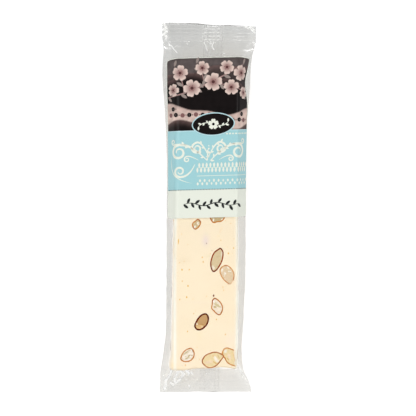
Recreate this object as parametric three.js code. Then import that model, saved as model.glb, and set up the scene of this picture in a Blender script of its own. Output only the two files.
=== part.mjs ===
// A nougat bar sealed in a clear film pack, with a paper label stuck on the front. It lies on its back.
// Millimetres. X runs across the pack, Y along it towards the labelled end, and Z up from where it lies.
// The origin is the middle of the pack's footprint. The film and the bar that fills it are one closed solid.
import * as THREE from 'three';

const rad = THREE.MathUtils.degToRad;
const lerp = THREE.MathUtils.lerp;

// The bar inside: where it starts and ends along Y, and the height that it lifts the film to. The film eases
// into its slope down to the seal over END_EASE before the bar's end and after it.
const BAR_FOOT = -94;
const BAR_HEAD = 84.5;
const FILM_TOP = 15.2;
const END_EASE = 3;

// The two crimped seals: from where to where they run along Y in the pack's middle, how far askew they are
// cut, the height that they stand at, how much they droop at the cut, and where their wave across X starts.
const HEAD_SEAL = { inner: 97.4, outer: 107.16, skew: rad(-1.75), height: 5.6, droop: 1.6, phase: 0.8 };
const FOOT_SEAL = { inner: -100.6, outer: -107.61, skew: rad(0.83), height: 5.2, droop: 0.8, phase: 2.1 };
const SEAL_THICKNESS = 0.7;
const RIB_PITCH = 2.1;
const RIB_HEIGHT = 0.2;
const RIB_STEPS = 6;
const WAVE_HEIGHT = 0.45;
const WAVE_LENGTH = 38;

// The film stands out from the bar in a ridge along each side. Each pair is a place along Y and how far the
// ridge is from X = 0 there.
const LEFT_RIDGE = [
  [-108, 26.9], [-100.5, 26.9], [-92, 26], [-81, 24.4], [-68, 23.5], [-6, 23.8],
  [36, 24.3], [57, 25.6], [80, 27.2], [93, 26.7], [101, 27.6], [108, 27.6],
];
const RIGHT_RIDGE = [
  [-108, 26.9], [-104.5, 26.5], [-94, 21.9], [-62, 21.8], [-48, 22.4], [45, 22.5],
  [70, 24.1], [88, 25.2], [96, 27], [101, 27.6], [108, 27.6],
];
const RIDGE_HEIGHT = 7.2;
const RIDGE_EDGE = 0.25;

// The film bends over the bar's long edges: where they are across X, and how far each bend reaches either
// way. On a seal these lines have spread to a share of its half width.
const SHOULDERS = { left: -18.3, right: 17.2, leftBend: 2.4, rightBend: 1.4 };
const SHOULDERS_AT_SEAL = 0.8;
const FOOT_EDGES = { left: -19.4, right: 17.9, bend: 1.2 };
const BEND_STEPS = 4;
const TOP_STEPS = 6;

// How far apart the sections stand, on the bar and where the film slopes down from it.
const BAR_STEP = 7;
const NECK_STEP = 1.5;

// The long seam on the back, a folded strip that the pack rests on.
const SEAM = { left: -3.6, right: 8.4, thickness: 0.3, steps: 4 };

// The label: its size flat, and the place of its middle as a distance over the film and along Y. The film
// that carries it is a little twisted, so its ends tilt more than its sides lean.
const LABEL = {
  width: 52.2,
  height: 93.8,
  corner: 2,
  across: 0,
  along: 41.1,
  tilt: rad(2.1),
  lean: rad(0.3),
  thickness: 0.4,
  gap: 0.3,
};
const LABEL_COLUMNS = 30;
const LABEL_ROWS = 32;
const CORNER_ROWS = 4;

const film = new THREE.MeshStandardMaterial({ color: 0xf3e6cb, roughness: 0.3, metalness: 0 });
const paper = new THREE.MeshStandardMaterial({ color: 0xa4cfd5, roughness: 0.45, metalness: 0 });

// A smooth value at y between the stations of a list, with no overshoot.
function along(stations, y) {
  const last = stations.length - 1;
  if (y <= stations[0][0]) return stations[0][1];
  if (y >= stations[last][0]) return stations[last][1];
  const i = stations.findIndex(([at]) => at > y) - 1;
  const slope = (k) => {
    if (k < 0 || k >= last) return 0;
    return (stations[k + 1][1] - stations[k][1]) / (stations[k + 1][0] - stations[k][0]);
  };
  const tangent = (k) => (slope(k - 1) * slope(k) > 0 ? (slope(k - 1) + slope(k)) / 2 : 0);
  const [y0, v0] = stations[i];
  const [y1, v1] = stations[i + 1];
  const span = y1 - y0;
  const t = (y - y0) / span;
  const h = t * t * (3 - 2 * t);
  return lerp(v0, v1, h) + span * t * (1 - t) * (tangent(i) * (1 - t) - tangent(i + 1) * t);
}

// How much of the bar's own section is left at y: 1 on the bar, 0 on a seal.
function fullness(y) {
  const past = y > 0 ? y - BAR_HEAD : BAR_FOOT - y;
  const run = y > 0 ? HEAD_SEAL.inner - BAR_HEAD : BAR_FOOT - FOOT_SEAL.inner;
  const eased = Math.max(0, past + END_EASE) ** 2 / (4 * END_EASE);
  return Math.max(0, 1 - (past < END_EASE ? eased : past) / run);
}

// The height of the middle of a seal at a point of it, with its ribs, its droop and its wave.
function sealHeight(x, y) {
  const seal = y > 0 ? HEAD_SEAL : FOOT_SEAL;
  const out = THREE.MathUtils.clamp((y - seal.inner) / (seal.outer - seal.inner), 0, 1);
  const ribs = out > 0 ? RIB_HEIGHT * Math.sin((2 * Math.PI * (y - seal.inner)) / RIB_PITCH) : 0;
  const wave = WAVE_HEIGHT * Math.sin((2 * Math.PI * x) / WAVE_LENGTH + seal.phase);
  return seal.height - seal.droop * out + ribs + wave;
}

// A bend from one straight to the next, as points on a quadratic curve round their corner.
function bend(before, corner, after, reach) {
  const from = corner.clone().add(before.clone().sub(corner).setLength(reach));
  const to = corner.clone().add(after.clone().sub(corner).setLength(reach));
  return new THREE.QuadraticBezierCurve(from, corner, to).getPoints(BEND_STEPS);
}

// The section of the pack at y as two lines of points: over the top from left to right, and back below.
function section(y) {
  const full = fullness(y);
  const half = SEAL_THICKNESS / 2;
  const left = -along(LEFT_RIDGE, y);
  const right = along(RIGHT_RIDGE, y);
  const at = (x, onBar, offSeal) => new THREE.Vector2(x, lerp(sealHeight(x, y) + offSeal, onBar, full));

  const inset = (onBar, ridge) => lerp(ridge * SHOULDERS_AT_SEAL, onBar, Math.sqrt(full));
  const topLeft = inset(SHOULDERS.left, left);
  const topRight = inset(SHOULDERS.right, right);
  const ridgeLeft = at(left, RIDGE_HEIGHT + RIDGE_EDGE, half);
  const ridgeRight = at(right, RIDGE_HEIGHT + RIDGE_EDGE, half);
  const cornerLeft = at(topLeft, FILM_TOP, half);
  const cornerRight = at(topRight, FILM_TOP, half);
  const top = [ridgeLeft, ...bend(ridgeLeft, cornerLeft, cornerRight, SHOULDERS.leftBend)];
  const bendRight = bend(cornerLeft, cornerRight, ridgeRight, SHOULDERS.rightBend);
  const flatFrom = topLeft + SHOULDERS.leftBend;
  const flatTo = topRight - SHOULDERS.rightBend;
  for (let i = 1; i < TOP_STEPS; i += 1) {
    top.push(at(lerp(flatFrom, flatTo, i / TOP_STEPS), FILM_TOP, half));
  }
  top.push(...bendRight, ridgeRight);

  const base = SEAM.thickness;
  const underLeft = at(left, RIDGE_HEIGHT - RIDGE_EDGE, -half);
  const underRight = at(right, RIDGE_HEIGHT - RIDGE_EDGE, -half);
  const footLeft = at(inset(FOOT_EDGES.left, left), base, -half);
  const footRight = at(inset(FOOT_EDGES.right, right), base, -half);
  const bottom = [underRight, ...bend(underRight, footRight, footLeft, FOOT_EDGES.bend)];
  bottom.push(at(SEAM.right, base, -half));
  for (let i = 0; i <= SEAM.steps; i += 1) {
    const x = lerp(SEAM.right, SEAM.left, i / SEAM.steps);
    bottom.push(at(x, 0, -half - SEAM.thickness));
  }
  bottom.push(at(SEAM.left, base, -half));
  bottom.push(...bend(footRight, footLeft, underLeft, FOOT_EDGES.bend), underLeft);
  return { top, bottom };
}

// The places along Y where the pack gets a section: close together on the ribs, wider apart on the bar.
function sectionPlaces() {
  const span = (from, to, step) => {
    const count = Math.max(1, Math.round(Math.abs(to - from) / step));
    return Array.from({ length: count }, (_, i) => lerp(from, to, i / count));
  };
  const rib = RIB_PITCH / RIB_STEPS;
  return [
    ...span(FOOT_SEAL.outer, FOOT_SEAL.inner, rib),
    ...span(FOOT_SEAL.inner, BAR_FOOT + END_EASE, NECK_STEP),
    ...span(BAR_FOOT + END_EASE, BAR_HEAD - END_EASE, BAR_STEP),
    ...span(BAR_HEAD - END_EASE, HEAD_SEAL.inner, NECK_STEP),
    ...span(HEAD_SEAL.inner, HEAD_SEAL.outer, rib),
    HEAD_SEAL.outer,
  ];
}

// A point of the pack, moved along Y as the askew cut of its seal asks.
function placed(x, y, z) {
  const seal = y > 0 ? HEAD_SEAL : FOOT_SEAL;
  const out = THREE.MathUtils.clamp((y - seal.inner) / (seal.outer - seal.inner), 0, 1);
  return new THREE.Vector3(x, y + Math.tan(seal.skew) * x * out, z);
}

// A closed mesh from rings of points, all with the same count: half of them above, the rest going back below.
function loft(rings) {
  const count = rings[0].length;
  const points = rings.flat();
  const faces = [];
  for (let r = 0; r + 1 < rings.length; r += 1) {
    for (let i = 0; i < count; i += 1) {
      const a = r * count + i;
      const b = r * count + ((i + 1) % count);
      faces.push(a, b, b + count, a, b + count, a + count);
    }
  }
  const last = (rings.length - 1) * count;
  const half = count / 2;
  // Each end is closed by strips between the ring's upper points and the lower ones that they face.
  for (let i = 0; i + 1 < half; i += 1) {
    const [a, b, c, d] = [i, i + 1, count - 2 - i, count - 1 - i];
    faces.push(a, c, b, a, d, c);
    faces.push(last + a, last + b, last + c, last + a, last + c, last + d);
  }
  const geometry = new THREE.BufferGeometry();
  geometry.setAttribute('position', new THREE.Float32BufferAttribute(points.flatMap((p) => p.toArray()), 3));
  geometry.setIndex(faces);
  geometry.computeVertexNormals();
  return geometry;
}

function wrappedBar() {
  const rings = sectionPlaces().map((y) => {
    const { top, bottom } = section(y);
    return [...top, ...bottom].map((p) => placed(p.x, y, p.y));
  });
  return new THREE.Mesh(loft(rings), film);
}

// The point and the outward direction on the film's top line at a distance along it from X = 0.
function onFilm(distance, y) {
  const { top } = section(y);
  const middle = top.findIndex((p) => p.x >= 0);
  const [before, after] = [top[middle - 1], top[middle]];
  const start = before.clone().lerp(after, -before.x / (after.x - before.x));
  const side = distance < 0 ? -1 : 1;
  let here = start;
  let left = Math.abs(distance);
  let next = side < 0 ? middle - 1 : middle;
  while (left > here.distanceTo(top[next]) && top[next + side]) {
    left -= here.distanceTo(top[next]);
    here = top[next];
    next += side;
  }
  const direction = top[next].clone().sub(here).normalize();
  const point = here.clone().addScaledVector(direction, left);
  const normal = new THREE.Vector2(-direction.y * side, direction.x * side);
  return { point, normal };
}

// A point of the label: a and b run across and along it from its middle, and lift is its height off the film.
function onLabel(a, b, lift) {
  const across = LABEL.across + a * Math.cos(LABEL.tilt) - b * Math.sin(LABEL.lean);
  const y = LABEL.along + a * Math.sin(LABEL.tilt) + b * Math.cos(LABEL.lean);
  const { point, normal } = onFilm(across, y);
  return new THREE.Vector3(point.x + normal.x * lift, y, point.y + normal.y * lift);
}

// Rows of the label along its height, closer together in the rounded corners, each with half its width there.
function labelRows() {
  const { width, height, corner } = LABEL;
  const straight = height / 2 - corner;
  const rows = [];
  for (let i = 0; i < CORNER_ROWS; i += 1) {
    const turn = (Math.PI / 2) * (i / CORNER_ROWS);
    const half = width / 2 - corner + corner * Math.sin(turn);
    rows.push({ b: -straight - corner * Math.cos(turn), half });
  }
  for (let i = 0; i <= LABEL_ROWS; i += 1) {
    rows.push({ b: lerp(-straight, straight, i / LABEL_ROWS), half: width / 2 });
  }
  return [...rows, ...rows.slice(0, CORNER_ROWS).reverse().map(({ b, half }) => ({ b: -b, half }))];
}

function label() {
  const rings = labelRows().map(({ b, half }) => {
    const edge = (lift) => Array.from(
      { length: LABEL_COLUMNS + 1 },
      (_, i) => onLabel(lerp(-half, half, i / LABEL_COLUMNS), b, lift),
    );
    return [...edge(LABEL.gap + LABEL.thickness), ...edge(LABEL.gap).reverse()];
  });
  return new THREE.Mesh(loft(rings), paper);
}

const pack = new THREE.Group();
const parts = { wrapped_bar: wrappedBar(), label: label() };
for (const [name, mesh] of Object.entries(parts)) {
  mesh.name = name;
  pack.add(mesh);
}

export default pack;
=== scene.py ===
# %% [markdown]
# # A nougat bar in a clear film pack
# A cream nougat bar with cut almonds lies in a flow-wrap: a tube of clear film with one long seam on the back
# and a crimped seal at each end. A paper label is stuck on the front of one end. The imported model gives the
# true size and place of the pack and the label, and everything below is fitted to it. All sizes are written
# in millimetres, and become metres only where a mesh is made.

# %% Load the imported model
import math
import random

import bmesh
import bpy
import numpy as np
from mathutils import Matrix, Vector, noise
from mathutils.bvhtree import BVHTree


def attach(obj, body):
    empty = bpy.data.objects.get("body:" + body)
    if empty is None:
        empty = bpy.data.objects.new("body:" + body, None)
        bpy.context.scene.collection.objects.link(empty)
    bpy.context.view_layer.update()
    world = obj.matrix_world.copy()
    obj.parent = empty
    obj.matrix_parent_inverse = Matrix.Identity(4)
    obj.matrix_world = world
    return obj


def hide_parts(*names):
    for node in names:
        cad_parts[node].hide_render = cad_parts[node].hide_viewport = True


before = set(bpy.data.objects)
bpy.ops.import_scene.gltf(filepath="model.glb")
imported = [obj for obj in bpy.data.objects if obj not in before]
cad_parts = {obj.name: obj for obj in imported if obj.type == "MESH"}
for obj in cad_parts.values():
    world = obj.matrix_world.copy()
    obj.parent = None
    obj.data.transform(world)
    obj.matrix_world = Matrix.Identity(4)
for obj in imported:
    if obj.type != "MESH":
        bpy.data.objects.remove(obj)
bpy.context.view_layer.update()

MM = 0.001


# %% [markdown]
# ## Helpers for meshes
# Every piece starts as arrays of points in millimetres and a list of faces. One helper turns them into a
# Blender object whose origin stays at the world's, and turns its faces outwards. Colours that change over a
# piece are kept in a colour attribute, which its material reads.

# %% Make a piece from points and faces
def add_object(name, data):
    """An object in the scene, made of this mesh, lamp or camera."""
    made = bpy.data.objects.new(name, data)
    bpy.context.collection.objects.link(made)
    return made


def paint(mesh, tints):
    """Keeps a colour for each point of the mesh, for its material to read."""
    layer = mesh.color_attributes.new("tint", "FLOAT_COLOR", "POINT")
    layer.data.foreach_set("color", np.column_stack([tints, np.ones(len(tints))]).ravel())


def make_piece(name, points, faces, materials, tints=None, values=None, face_materials=None):
    """A mesh object in metres. tints has one colour a point, and values is {name: one number a point}."""
    mesh = bpy.data.meshes.new(name)
    mesh.from_pydata((np.asarray(points) * MM).tolist(), [], faces)
    for material in materials:
        mesh.materials.append(material)
    mesh.polygons.foreach_set("use_smooth", [True] * len(mesh.polygons))
    if face_materials is not None:
        mesh.polygons.foreach_set("material_index", face_materials)
    if tints is not None:
        paint(mesh, tints)
    for key, numbers in (values or {}).items():
        mesh.attributes.new(key, "FLOAT", "POINT").data.foreach_set("value", np.asarray(numbers, dtype=float))
    face_outwards(mesh)
    return add_object(name, mesh)


def face_outwards(mesh):
    """Turns the faces of a closed mesh outwards."""
    bm = bmesh.new()
    bm.from_mesh(mesh)
    bmesh.ops.recalc_face_normals(bm, faces=bm.faces)
    bm.to_mesh(mesh)
    bm.free()


def ring_faces(rings, count, closed=True):
    """Quads between rings of points that follow each other, with count points in each ring."""
    faces = []
    for r in range(rings - 1):
        for i in range(count if closed else count - 1):
            a, b = r * count + i, r * count + (i + 1) % count
            faces.append((a, b, b + count, a + count))
    return faces


def tube_faces(rings, count):
    """Quads between rings of points, and a cap on the first ring and on the last."""
    caps = [tuple(range(start, start + count)) for start in (0, (rings - 1) * count)]
    return ring_faces(rings, count) + caps


# %% Colours are written as the eye sees them
def srgb(red, green, blue):
    """A colour from 0 to 255 as Blender's own linear numbers."""
    shares = [c / 255 for c in (red, green, blue)]
    return tuple(((s + 0.055) / 1.055) ** 2.4 if s > 10 / 255 else s / 12.92 for s in shares)


def plain(colour, count):
    """The same colour for each of count points."""
    return np.array(colour) * np.ones((count, 1))


def blend(tint, colour, share):
    """tint moved towards a colour by a share for each point."""
    return tint + (np.array(colour) - tint) * np.clip(share, 0, 1)[:, None]


# %% [markdown]
# ## The shape that the film takes
# The film is stretched over the bar. It lies flat on the bar's top and bottom, bends over the bar's long
# edges, and meets itself in a ridge along each side. Past the bar's ends it slopes down to the two seals. So
# one function of a place along the pack gives its whole section, and the film, the seam and the label all
# follow it.

# %% The pack's driving sizes
BAR_FOOT, BAR_HEAD, FILM_TOP, END_EASE = -94.0, 84.5, 15.2, 3.0
HEAD_SEAL = dict(inner=97.4, outer=107.16, skew=math.radians(-1.75), height=5.6, droop=1.6, phase=0.8)
FOOT_SEAL = dict(inner=-100.6, outer=-107.61, skew=math.radians(0.83), height=5.2, droop=0.8, phase=2.1)
SEAL_THICKNESS = 0.3
WAVE_HEIGHT, WAVE_LENGTH = 0.45, 38.0
LEFT_RIDGE = [
    (-108, 26.9), (-100.5, 26.9), (-92, 26), (-81, 24.4), (-68, 23.5), (-6, 23.8),
    (36, 24.3), (57, 25.6), (80, 27.2), (93, 26.7), (101, 27.6), (108, 27.6),
]
RIGHT_RIDGE = [
    (-108, 26.9), (-104.5, 26.5), (-94, 21.9), (-62, 21.8), (-48, 22.4), (45, 22.5),
    (70, 24.1), (88, 25.2), (96, 27), (101, 27.6), (108, 27.6),
]
RIDGE_HEIGHT, RIDGE_EDGE = 7.2, 0.06
SHOULDERS = dict(left=-18.3, right=17.2, left_bend=2.4, right_bend=1.4, at_seal=0.8)
FOOT_EDGES = dict(left=-19.4, right=17.9, bend=1.2)
UNDERSIDE = 0.3


# %% Values along the pack
def along(stations, y):
    """A smooth value at y between (place, value) pairs, with no overshoot."""
    at, value = np.array(stations, dtype=float).T
    slope = np.concatenate([[0], np.diff(value) / np.diff(at), [0]])
    tangent = np.where(slope[:-1] * slope[1:] > 0, (slope[:-1] + slope[1:]) / 2, 0)
    y = np.clip(y, at[0], at[-1])
    i = np.clip(np.searchsorted(at, y, side="right") - 1, 0, len(at) - 2)
    span = at[i + 1] - at[i]
    t = (y - at[i]) / span
    ease = t * t * (3 - 2 * t)
    curl = span * t * (1 - t) * (tangent[i] * (1 - t) - tangent[i + 1] * t)
    return value[i] + (value[i + 1] - value[i]) * ease + curl


def fullness(y):
    """How much of the bar's own section is left at y: 1 on the bar, 0 on a seal."""
    past = y - BAR_HEAD if y > 0 else BAR_FOOT - y
    run = HEAD_SEAL["inner"] - BAR_HEAD if y > 0 else BAR_FOOT - FOOT_SEAL["inner"]
    eased = max(0.0, past + END_EASE) ** 2 / (4 * END_EASE)
    return max(0.0, 1 - (eased if past < END_EASE else past) / run)


def seal_out(y):
    """How far into a seal y is: 0 at its inner edge and before it, 1 at its cut edge."""
    seal = HEAD_SEAL if y > 0 else FOOT_SEAL
    return min(1.0, max(0.0, (y - seal["inner"]) / (seal["outer"] - seal["inner"])))


def seal_height(x, y):
    """The height of the middle of a seal, with its droop and its wave."""
    seal = HEAD_SEAL if y > 0 else FOOT_SEAL
    wave = WAVE_HEIGHT * np.sin(2 * np.pi * np.asarray(x) / WAVE_LENGTH + seal["phase"])
    return seal["height"] - seal["droop"] * seal_out(y) + wave


# %% One section of the film
BEND_POINTS, FLAT_POINTS = 9, 24


def bend(before, corner, after, reach):
    """Points on a curve round a corner."""
    start = corner + (before - corner) * reach / np.linalg.norm(before - corner)
    end = corner + (after - corner) * reach / np.linalg.norm(after - corner)
    t = np.linspace(0, 1, BEND_POINTS)[:, None]
    return (1 - t) ** 2 * start + 2 * t * (1 - t) * corner + t * t * end


def section(y):
    """The film at y as two lines of (x, z) points, over the top and below, both from left to right."""
    full, half = fullness(y), SEAL_THICKNESS / 2
    left, right = -float(along(LEFT_RIDGE, y)), float(along(RIGHT_RIDGE, y))

    def at(x, on_bar, off_seal):
        height = (seal_height(x, y) + off_seal) * (1 - full) + on_bar * full
        return np.column_stack([np.atleast_1d(x), np.atleast_1d(height)])

    def inset(on_bar, ridge):
        return ridge * SHOULDERS["at_seal"] + (on_bar - ridge * SHOULDERS["at_seal"]) * math.sqrt(full)

    lines = []
    for edges, level, side, bends in (
        (SHOULDERS, FILM_TOP, 1, (SHOULDERS["left_bend"], SHOULDERS["right_bend"])),
        (FOOT_EDGES, UNDERSIDE, -1, (FOOT_EDGES["bend"], FOOT_EDGES["bend"])),
    ):
        ridges = [at(x, RIDGE_HEIGHT + side * RIDGE_EDGE, side * half)[0] for x in (left, right)]
        ends = (("left", left), ("right", right))
        corners = [at(inset(edges[k], x), level, side * half)[0] for k, x in ends]
        flat = np.linspace(corners[0][0] + bends[0], corners[1][0] - bends[1], FLAT_POINTS)[1:-1]
        lines.append(np.vstack([
            ridges[0],
            bend(ridges[0], corners[0], corners[1], bends[0]),
            at(flat, level, side * half),
            bend(corners[0], corners[1], ridges[1], bends[1]),
            ridges[1],
        ]))
    return lines


# %% How the seals are cut
HEAD_CUT = [
    (-28, 0.2), (-22, 0.4), (-18, 0.5), (-9, 0.65), (-4, 0.4), (-2.4, 0.0),
    (1, -0.45), (6, 0.1), (12, 0.5), (17, 0.0), (22, 0.3), (28, 0.3),
]
FOOT_CUT = [(-28, -0.4), (-15, -0.4), (-10, -0.1), (2, -0.1), (4.5, -0.5), (6, -0.5), (8, -0.15), (28, -0.45)]


def askew(x, y):
    """y moved as the cut edge of the seal asks: it is askew, and not quite straight."""
    seal, cut = (HEAD_SEAL, HEAD_CUT) if y > 0 else (FOOT_SEAL, FOOT_CUT)
    return y + (math.tan(seal["skew"]) * x + float(along(cut, x))) * seal_out(y)


# %% [markdown]
# ## Small bumps, as on food and film
# Real surfaces are never quite flat. Blender's noise gives a smooth random height at any place, the same in
# each run, and a few sums of it make the dents of soft nougat and the slack of thin film.

# %% Smooth random heights
def lumps(places, size, seed):
    """One number from -1 to 1 for each (x, y) or (x, y, z) place, changing over about size millimetres."""
    places = np.asarray(places, dtype=float)
    if places.shape[1] == 2:
        places = np.column_stack([places, places[:, 0] * 0])
    shift = Vector((seed * 17.3, seed * 5.1, seed * 9.7))
    return np.array([noise.noise(Vector(p) / size + shift) for p in places])


def bumps(places, *layers):
    """A sum of random heights. Each layer is (height, size, seed), in millimetres."""
    return sum(height * lumps(places, size, seed) for height, size, seed in layers)


# %% [markdown]
# ## Materials share one effect
# Nougat, almond flesh, almond skin and paper all have a fine grain, so it is one node group with its own
# sockets. It reads Object coordinates, so the grain stays on the piece from every side. Its outputs are a
# shade close to 1, which multiplies a colour, and a height for a Bump node. A few helpers write any tree from
# its start to its end: each node is made with its settings, and with the values or the earlier nodes that
# feed it.

# %% Helpers for nodes
def feed(node, **inputs):
    """Fills a node's inputs, such as in_0 or in_Scale, each with a value or by a link.

    A link is written as the node that it comes from, for its first output, or as (node, output).
    """
    for key, value in inputs.items():
        name = key[3:].replace("_", " ")
        socket = node.inputs[int(name) if name.isdigit() else name]
        source, output = value if isinstance(value, tuple) and len(value) == 2 else (value, 0)
        if isinstance(source, bpy.types.Node):
            node.id_data.links.new(source.outputs[output], socket)
        else:
            socket.default_value = value


def add_node(tree, kind, **settings):
    """A node with its settings, and with its inputs filled as feed does it."""
    node = tree.nodes.new(kind)
    for key, value in settings.items():
        if key.startswith("in_"):
            feed(node, **{key: value})
        else:
            setattr(node, key, value)
    return node


def maths(tree, operation, *values, clamped=False):
    """A Math node that is fed by these values or nodes."""
    inputs = {f"in_{i}": value for i, value in enumerate(values)}
    return add_node(tree, "ShaderNodeMath", operation=operation, use_clamp=clamped, **inputs)


def node_group(name, kind, inputs, outputs):
    """An empty node group with inputs {name: (socket type, default)} and outputs {name: socket type}."""
    group = bpy.data.node_groups.new(name, kind)
    for key, (socket_type, default) in inputs.items():
        socket = group.interface.new_socket(key, in_out="INPUT", socket_type=socket_type)
        if default is not None:
            socket.default_value = default
    for key, socket_type in outputs.items():
        group.interface.new_socket(key, in_out="OUTPUT", socket_type=socket_type)
    return group, group.nodes.new("NodeGroupInput"), group.nodes.new("NodeGroupOutput")


# %% The fine grain
NUMBER, WHOLE, SHAPE, FINISH = "NodeSocketFloat", "NodeSocketInt", "NodeSocketGeometry", "NodeSocketMaterial"
GRAIN, given, result = node_group(
    "Fine grain",
    "ShaderNodeTree",
    {"Scale": (NUMBER, 900.0), "Stretch": (NUMBER, 1.0), "Amount": (NUMBER, 0.05)},
    {"Shade": NUMBER, "Height": NUMBER},
)
place = add_node(GRAIN, "ShaderNodeTexCoord")
stretch = add_node(GRAIN, "ShaderNodeCombineXYZ", in_0=1.0, in_1=(given, "Stretch"), in_2=1.0)
scaled = add_node(GRAIN, "ShaderNodeVectorMath", operation="MULTIPLY", in_0=(place, "Object"), in_1=stretch)
fine = add_node(GRAIN, "ShaderNodeTexNoise", in_Vector=scaled, in_Scale=(given, "Scale"), in_Detail=5.0,
                in_Roughness=0.62)
centred = maths(GRAIN, "SUBTRACT", (fine, "Fac"), 0.5)
swing = maths(GRAIN, "MULTIPLY", centred, (given, "Amount"))
shade = maths(GRAIN, "MULTIPLY_ADD", swing, 2.0, 1.0)
feed(result, in_Shade=shade, in_Height=(fine, "Fac"))


# %% A material with that grain
def grained(name, colour, grain, bump, roughness, specular=0.5, blotch=None):
    """A material of one colour, or with the piece's tint where colour is None.

    grain is (scale, stretch, amount), and bump is its depth in mm. blotch is (second colour, scale, share),
    for soft patches of another colour.
    """
    material = bpy.data.materials.new(name)
    material.use_nodes = True
    tree = material.node_tree
    if colour is None:
        base = add_node(tree, "ShaderNodeAttribute", attribute_name="tint"), "Color"
    else:
        base = add_node(tree, "ShaderNodeRGB")
        base.outputs[0].default_value = (*colour, 1)
    if blotch:
        second, scale, share = blotch
        place = add_node(tree, "ShaderNodeTexCoord")
        spots = add_node(tree, "ShaderNodeTexNoise", in_Vector=(place, "Object"), in_Scale=scale,
                         in_Detail=3.0)
        soft = add_node(tree, "ShaderNodeMapRange", in_0=(spots, "Fac"), in_1=0.45, in_2=0.75, in_4=share)
        mix = add_node(tree, "ShaderNodeMix", data_type="RGBA", in_Factor=soft, in_A=base, in_B=(*second, 1))
        base = mix, "Result"
    scale, stretch, amount = grain
    grain = add_node(tree, "ShaderNodeGroup", node_tree=GRAIN, in_Scale=scale, in_Stretch=stretch,
                     in_Amount=amount)
    tone = add_node(tree, "ShaderNodeVectorMath", operation="SCALE", in_0=base, in_Scale=(grain, "Shade"))
    relief = add_node(tree, "ShaderNodeBump", in_Distance=bump * MM, in_Strength=1.0,
                      in_Height=(grain, "Height"))
    shader = tree.nodes["Principled BSDF"]
    feed(shader, in_Base_Color=tone, in_Roughness=roughness, in_Specular_IOR_Level=specular, in_Normal=relief)
    return material


# %% [markdown]
# ## The nougat bar
# The real bar is cut from a slab, so its top and bottom are flat, its right edge is sharp and its left edge
# has slumped round. A box with rounded edges could be bevelled, but here each edge has its own radius and the
# width changes along the bar. So a fine grid on a cube is moved by a formula: each point is pulled in to the
# core of the box, then pushed out again by the edge's radius. A little noise on top makes the soft dents.

# %% The bar's sizes
BAR_LEFT = [(-95, 21.2), (-92, 21.6), (-87, 21.0), (-75, 20.6), (-40, 20.3), (-5, 20.1), (85, 19.9)]
BAR_RIGHT = [(-95, 18.2), (-77, 18.5), (-48, 18.5), (-5, 17.9), (85, 17.7)]
BAR_UNDER, BAR_TOP = 0.5, 14.9
BAR_ENDS = (-94.4, 84.2)
BAR_WIDTH, BAR_LENGTH, BAR_THICKNESS = 38.5, BAR_ENDS[1] - BAR_ENDS[0], BAR_TOP - BAR_UNDER
BAR_GRID = 0.75
EDGE_RADII = dict(left_top=3.4, right_top=1.9, left_under=2.0, right_under=1.5)
END_RADIUS = 0.9
DENTS, DENTS_DOWN = ((0.1, 9, 1), (0.05, 3.2, 2), (0.02, 1.2, 3)), 0.05
RAGGED_REACH = 4
END_CUT = [(-22, -0.9), (-12, -0.8), (-6, 0.1), (4, 0.5), (9, 1.2), (13, 0.8), (18, 0.0)]


# %% A rounded box from a cube's grid
def cube_grid(counts):
    """Points on a cube from -1 to 1, with counts cells along each axis, and the faces between them."""
    points, faces, found = [], [], {}

    def number(p):
        key = tuple(round(c, 6) for c in p)
        if key not in found:
            found[key] = len(points)
            points.append(p)
        return found[key]

    for axis in range(3):
        u, v = (axis + 1) % 3, (axis + 2) % 3
        for end in (-1.0, 1.0):
            steps_u, steps_v = np.linspace(-1, 1, counts[u] + 1), np.linspace(-1, 1, counts[v] + 1)
            grid = []
            for a in steps_u:
                row = []
                for b in steps_v:
                    p = [0.0, 0.0, 0.0]
                    p[axis], p[u], p[v] = end, float(a), float(b)
                    row.append(number(tuple(p)))
                grid.append(row)
            for i in range(counts[u]):
                for j in range(counts[v]):
                    faces.append((grid[i][j], grid[i + 1][j], grid[i + 1][j + 1], grid[i][j + 1]))
    return np.array(points), faces


def nougat_points(unit):
    """Places the cube's points on the bar."""
    y = sum(BAR_ENDS) / 2 + unit[:, 1] * BAR_LENGTH / 2
    left, right = -along(BAR_LEFT, y), along(BAR_RIGHT, y)
    middle = np.column_stack([(left + right) / 2, y * 0 + sum(BAR_ENDS) / 2,
                              y * 0 + (BAR_UNDER + BAR_TOP) / 2])
    half = np.column_stack([(right - left) / 2, y * 0 + BAR_LENGTH / 2, y * 0 + BAR_THICKNESS / 2])
    rightness = np.clip(unit[:, 0] * 2 + 0.5, 0, 1)
    topness = np.clip(unit[:, 2] * 2 + 0.5, 0, 1)
    upper = EDGE_RADII["left_top"] + (EDGE_RADII["right_top"] - EDGE_RADII["left_top"]) * rightness
    lower = EDGE_RADII["left_under"] + (EDGE_RADII["right_under"] - EDGE_RADII["left_under"]) * rightness
    radius = lower + (upper - lower) * topness
    radius = np.column_stack([radius, radius * 0 + END_RADIUS, radius])
    spot = unit * half
    core = np.clip(spot, -(half - radius), half - radius)
    out = (spot - core) / radius
    out /= np.maximum(np.linalg.norm(out, axis=1, keepdims=True), 1e-9)
    spot = middle + core + out * radius
    spot += out * (bumps(spot, *DENTS) - DENTS_DOWN)[:, None]
    ragged = np.clip((BAR_ENDS[0] + RAGGED_REACH - spot[:, 1]) / RAGGED_REACH, 0, 1)
    spot[:, 1] += ragged * (along(END_CUT, spot[:, 0]) + 0.2 * lumps(spot * [1, 0, 0.6], 5, 4))
    return spot


unit_points, nougat_faces = cube_grid([round(s / BAR_GRID) for s in (BAR_WIDTH, BAR_LENGTH, BAR_THICKNESS)])
nougat_at = nougat_points(unit_points)
print("The nougat has", len(nougat_faces), "faces")
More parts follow.
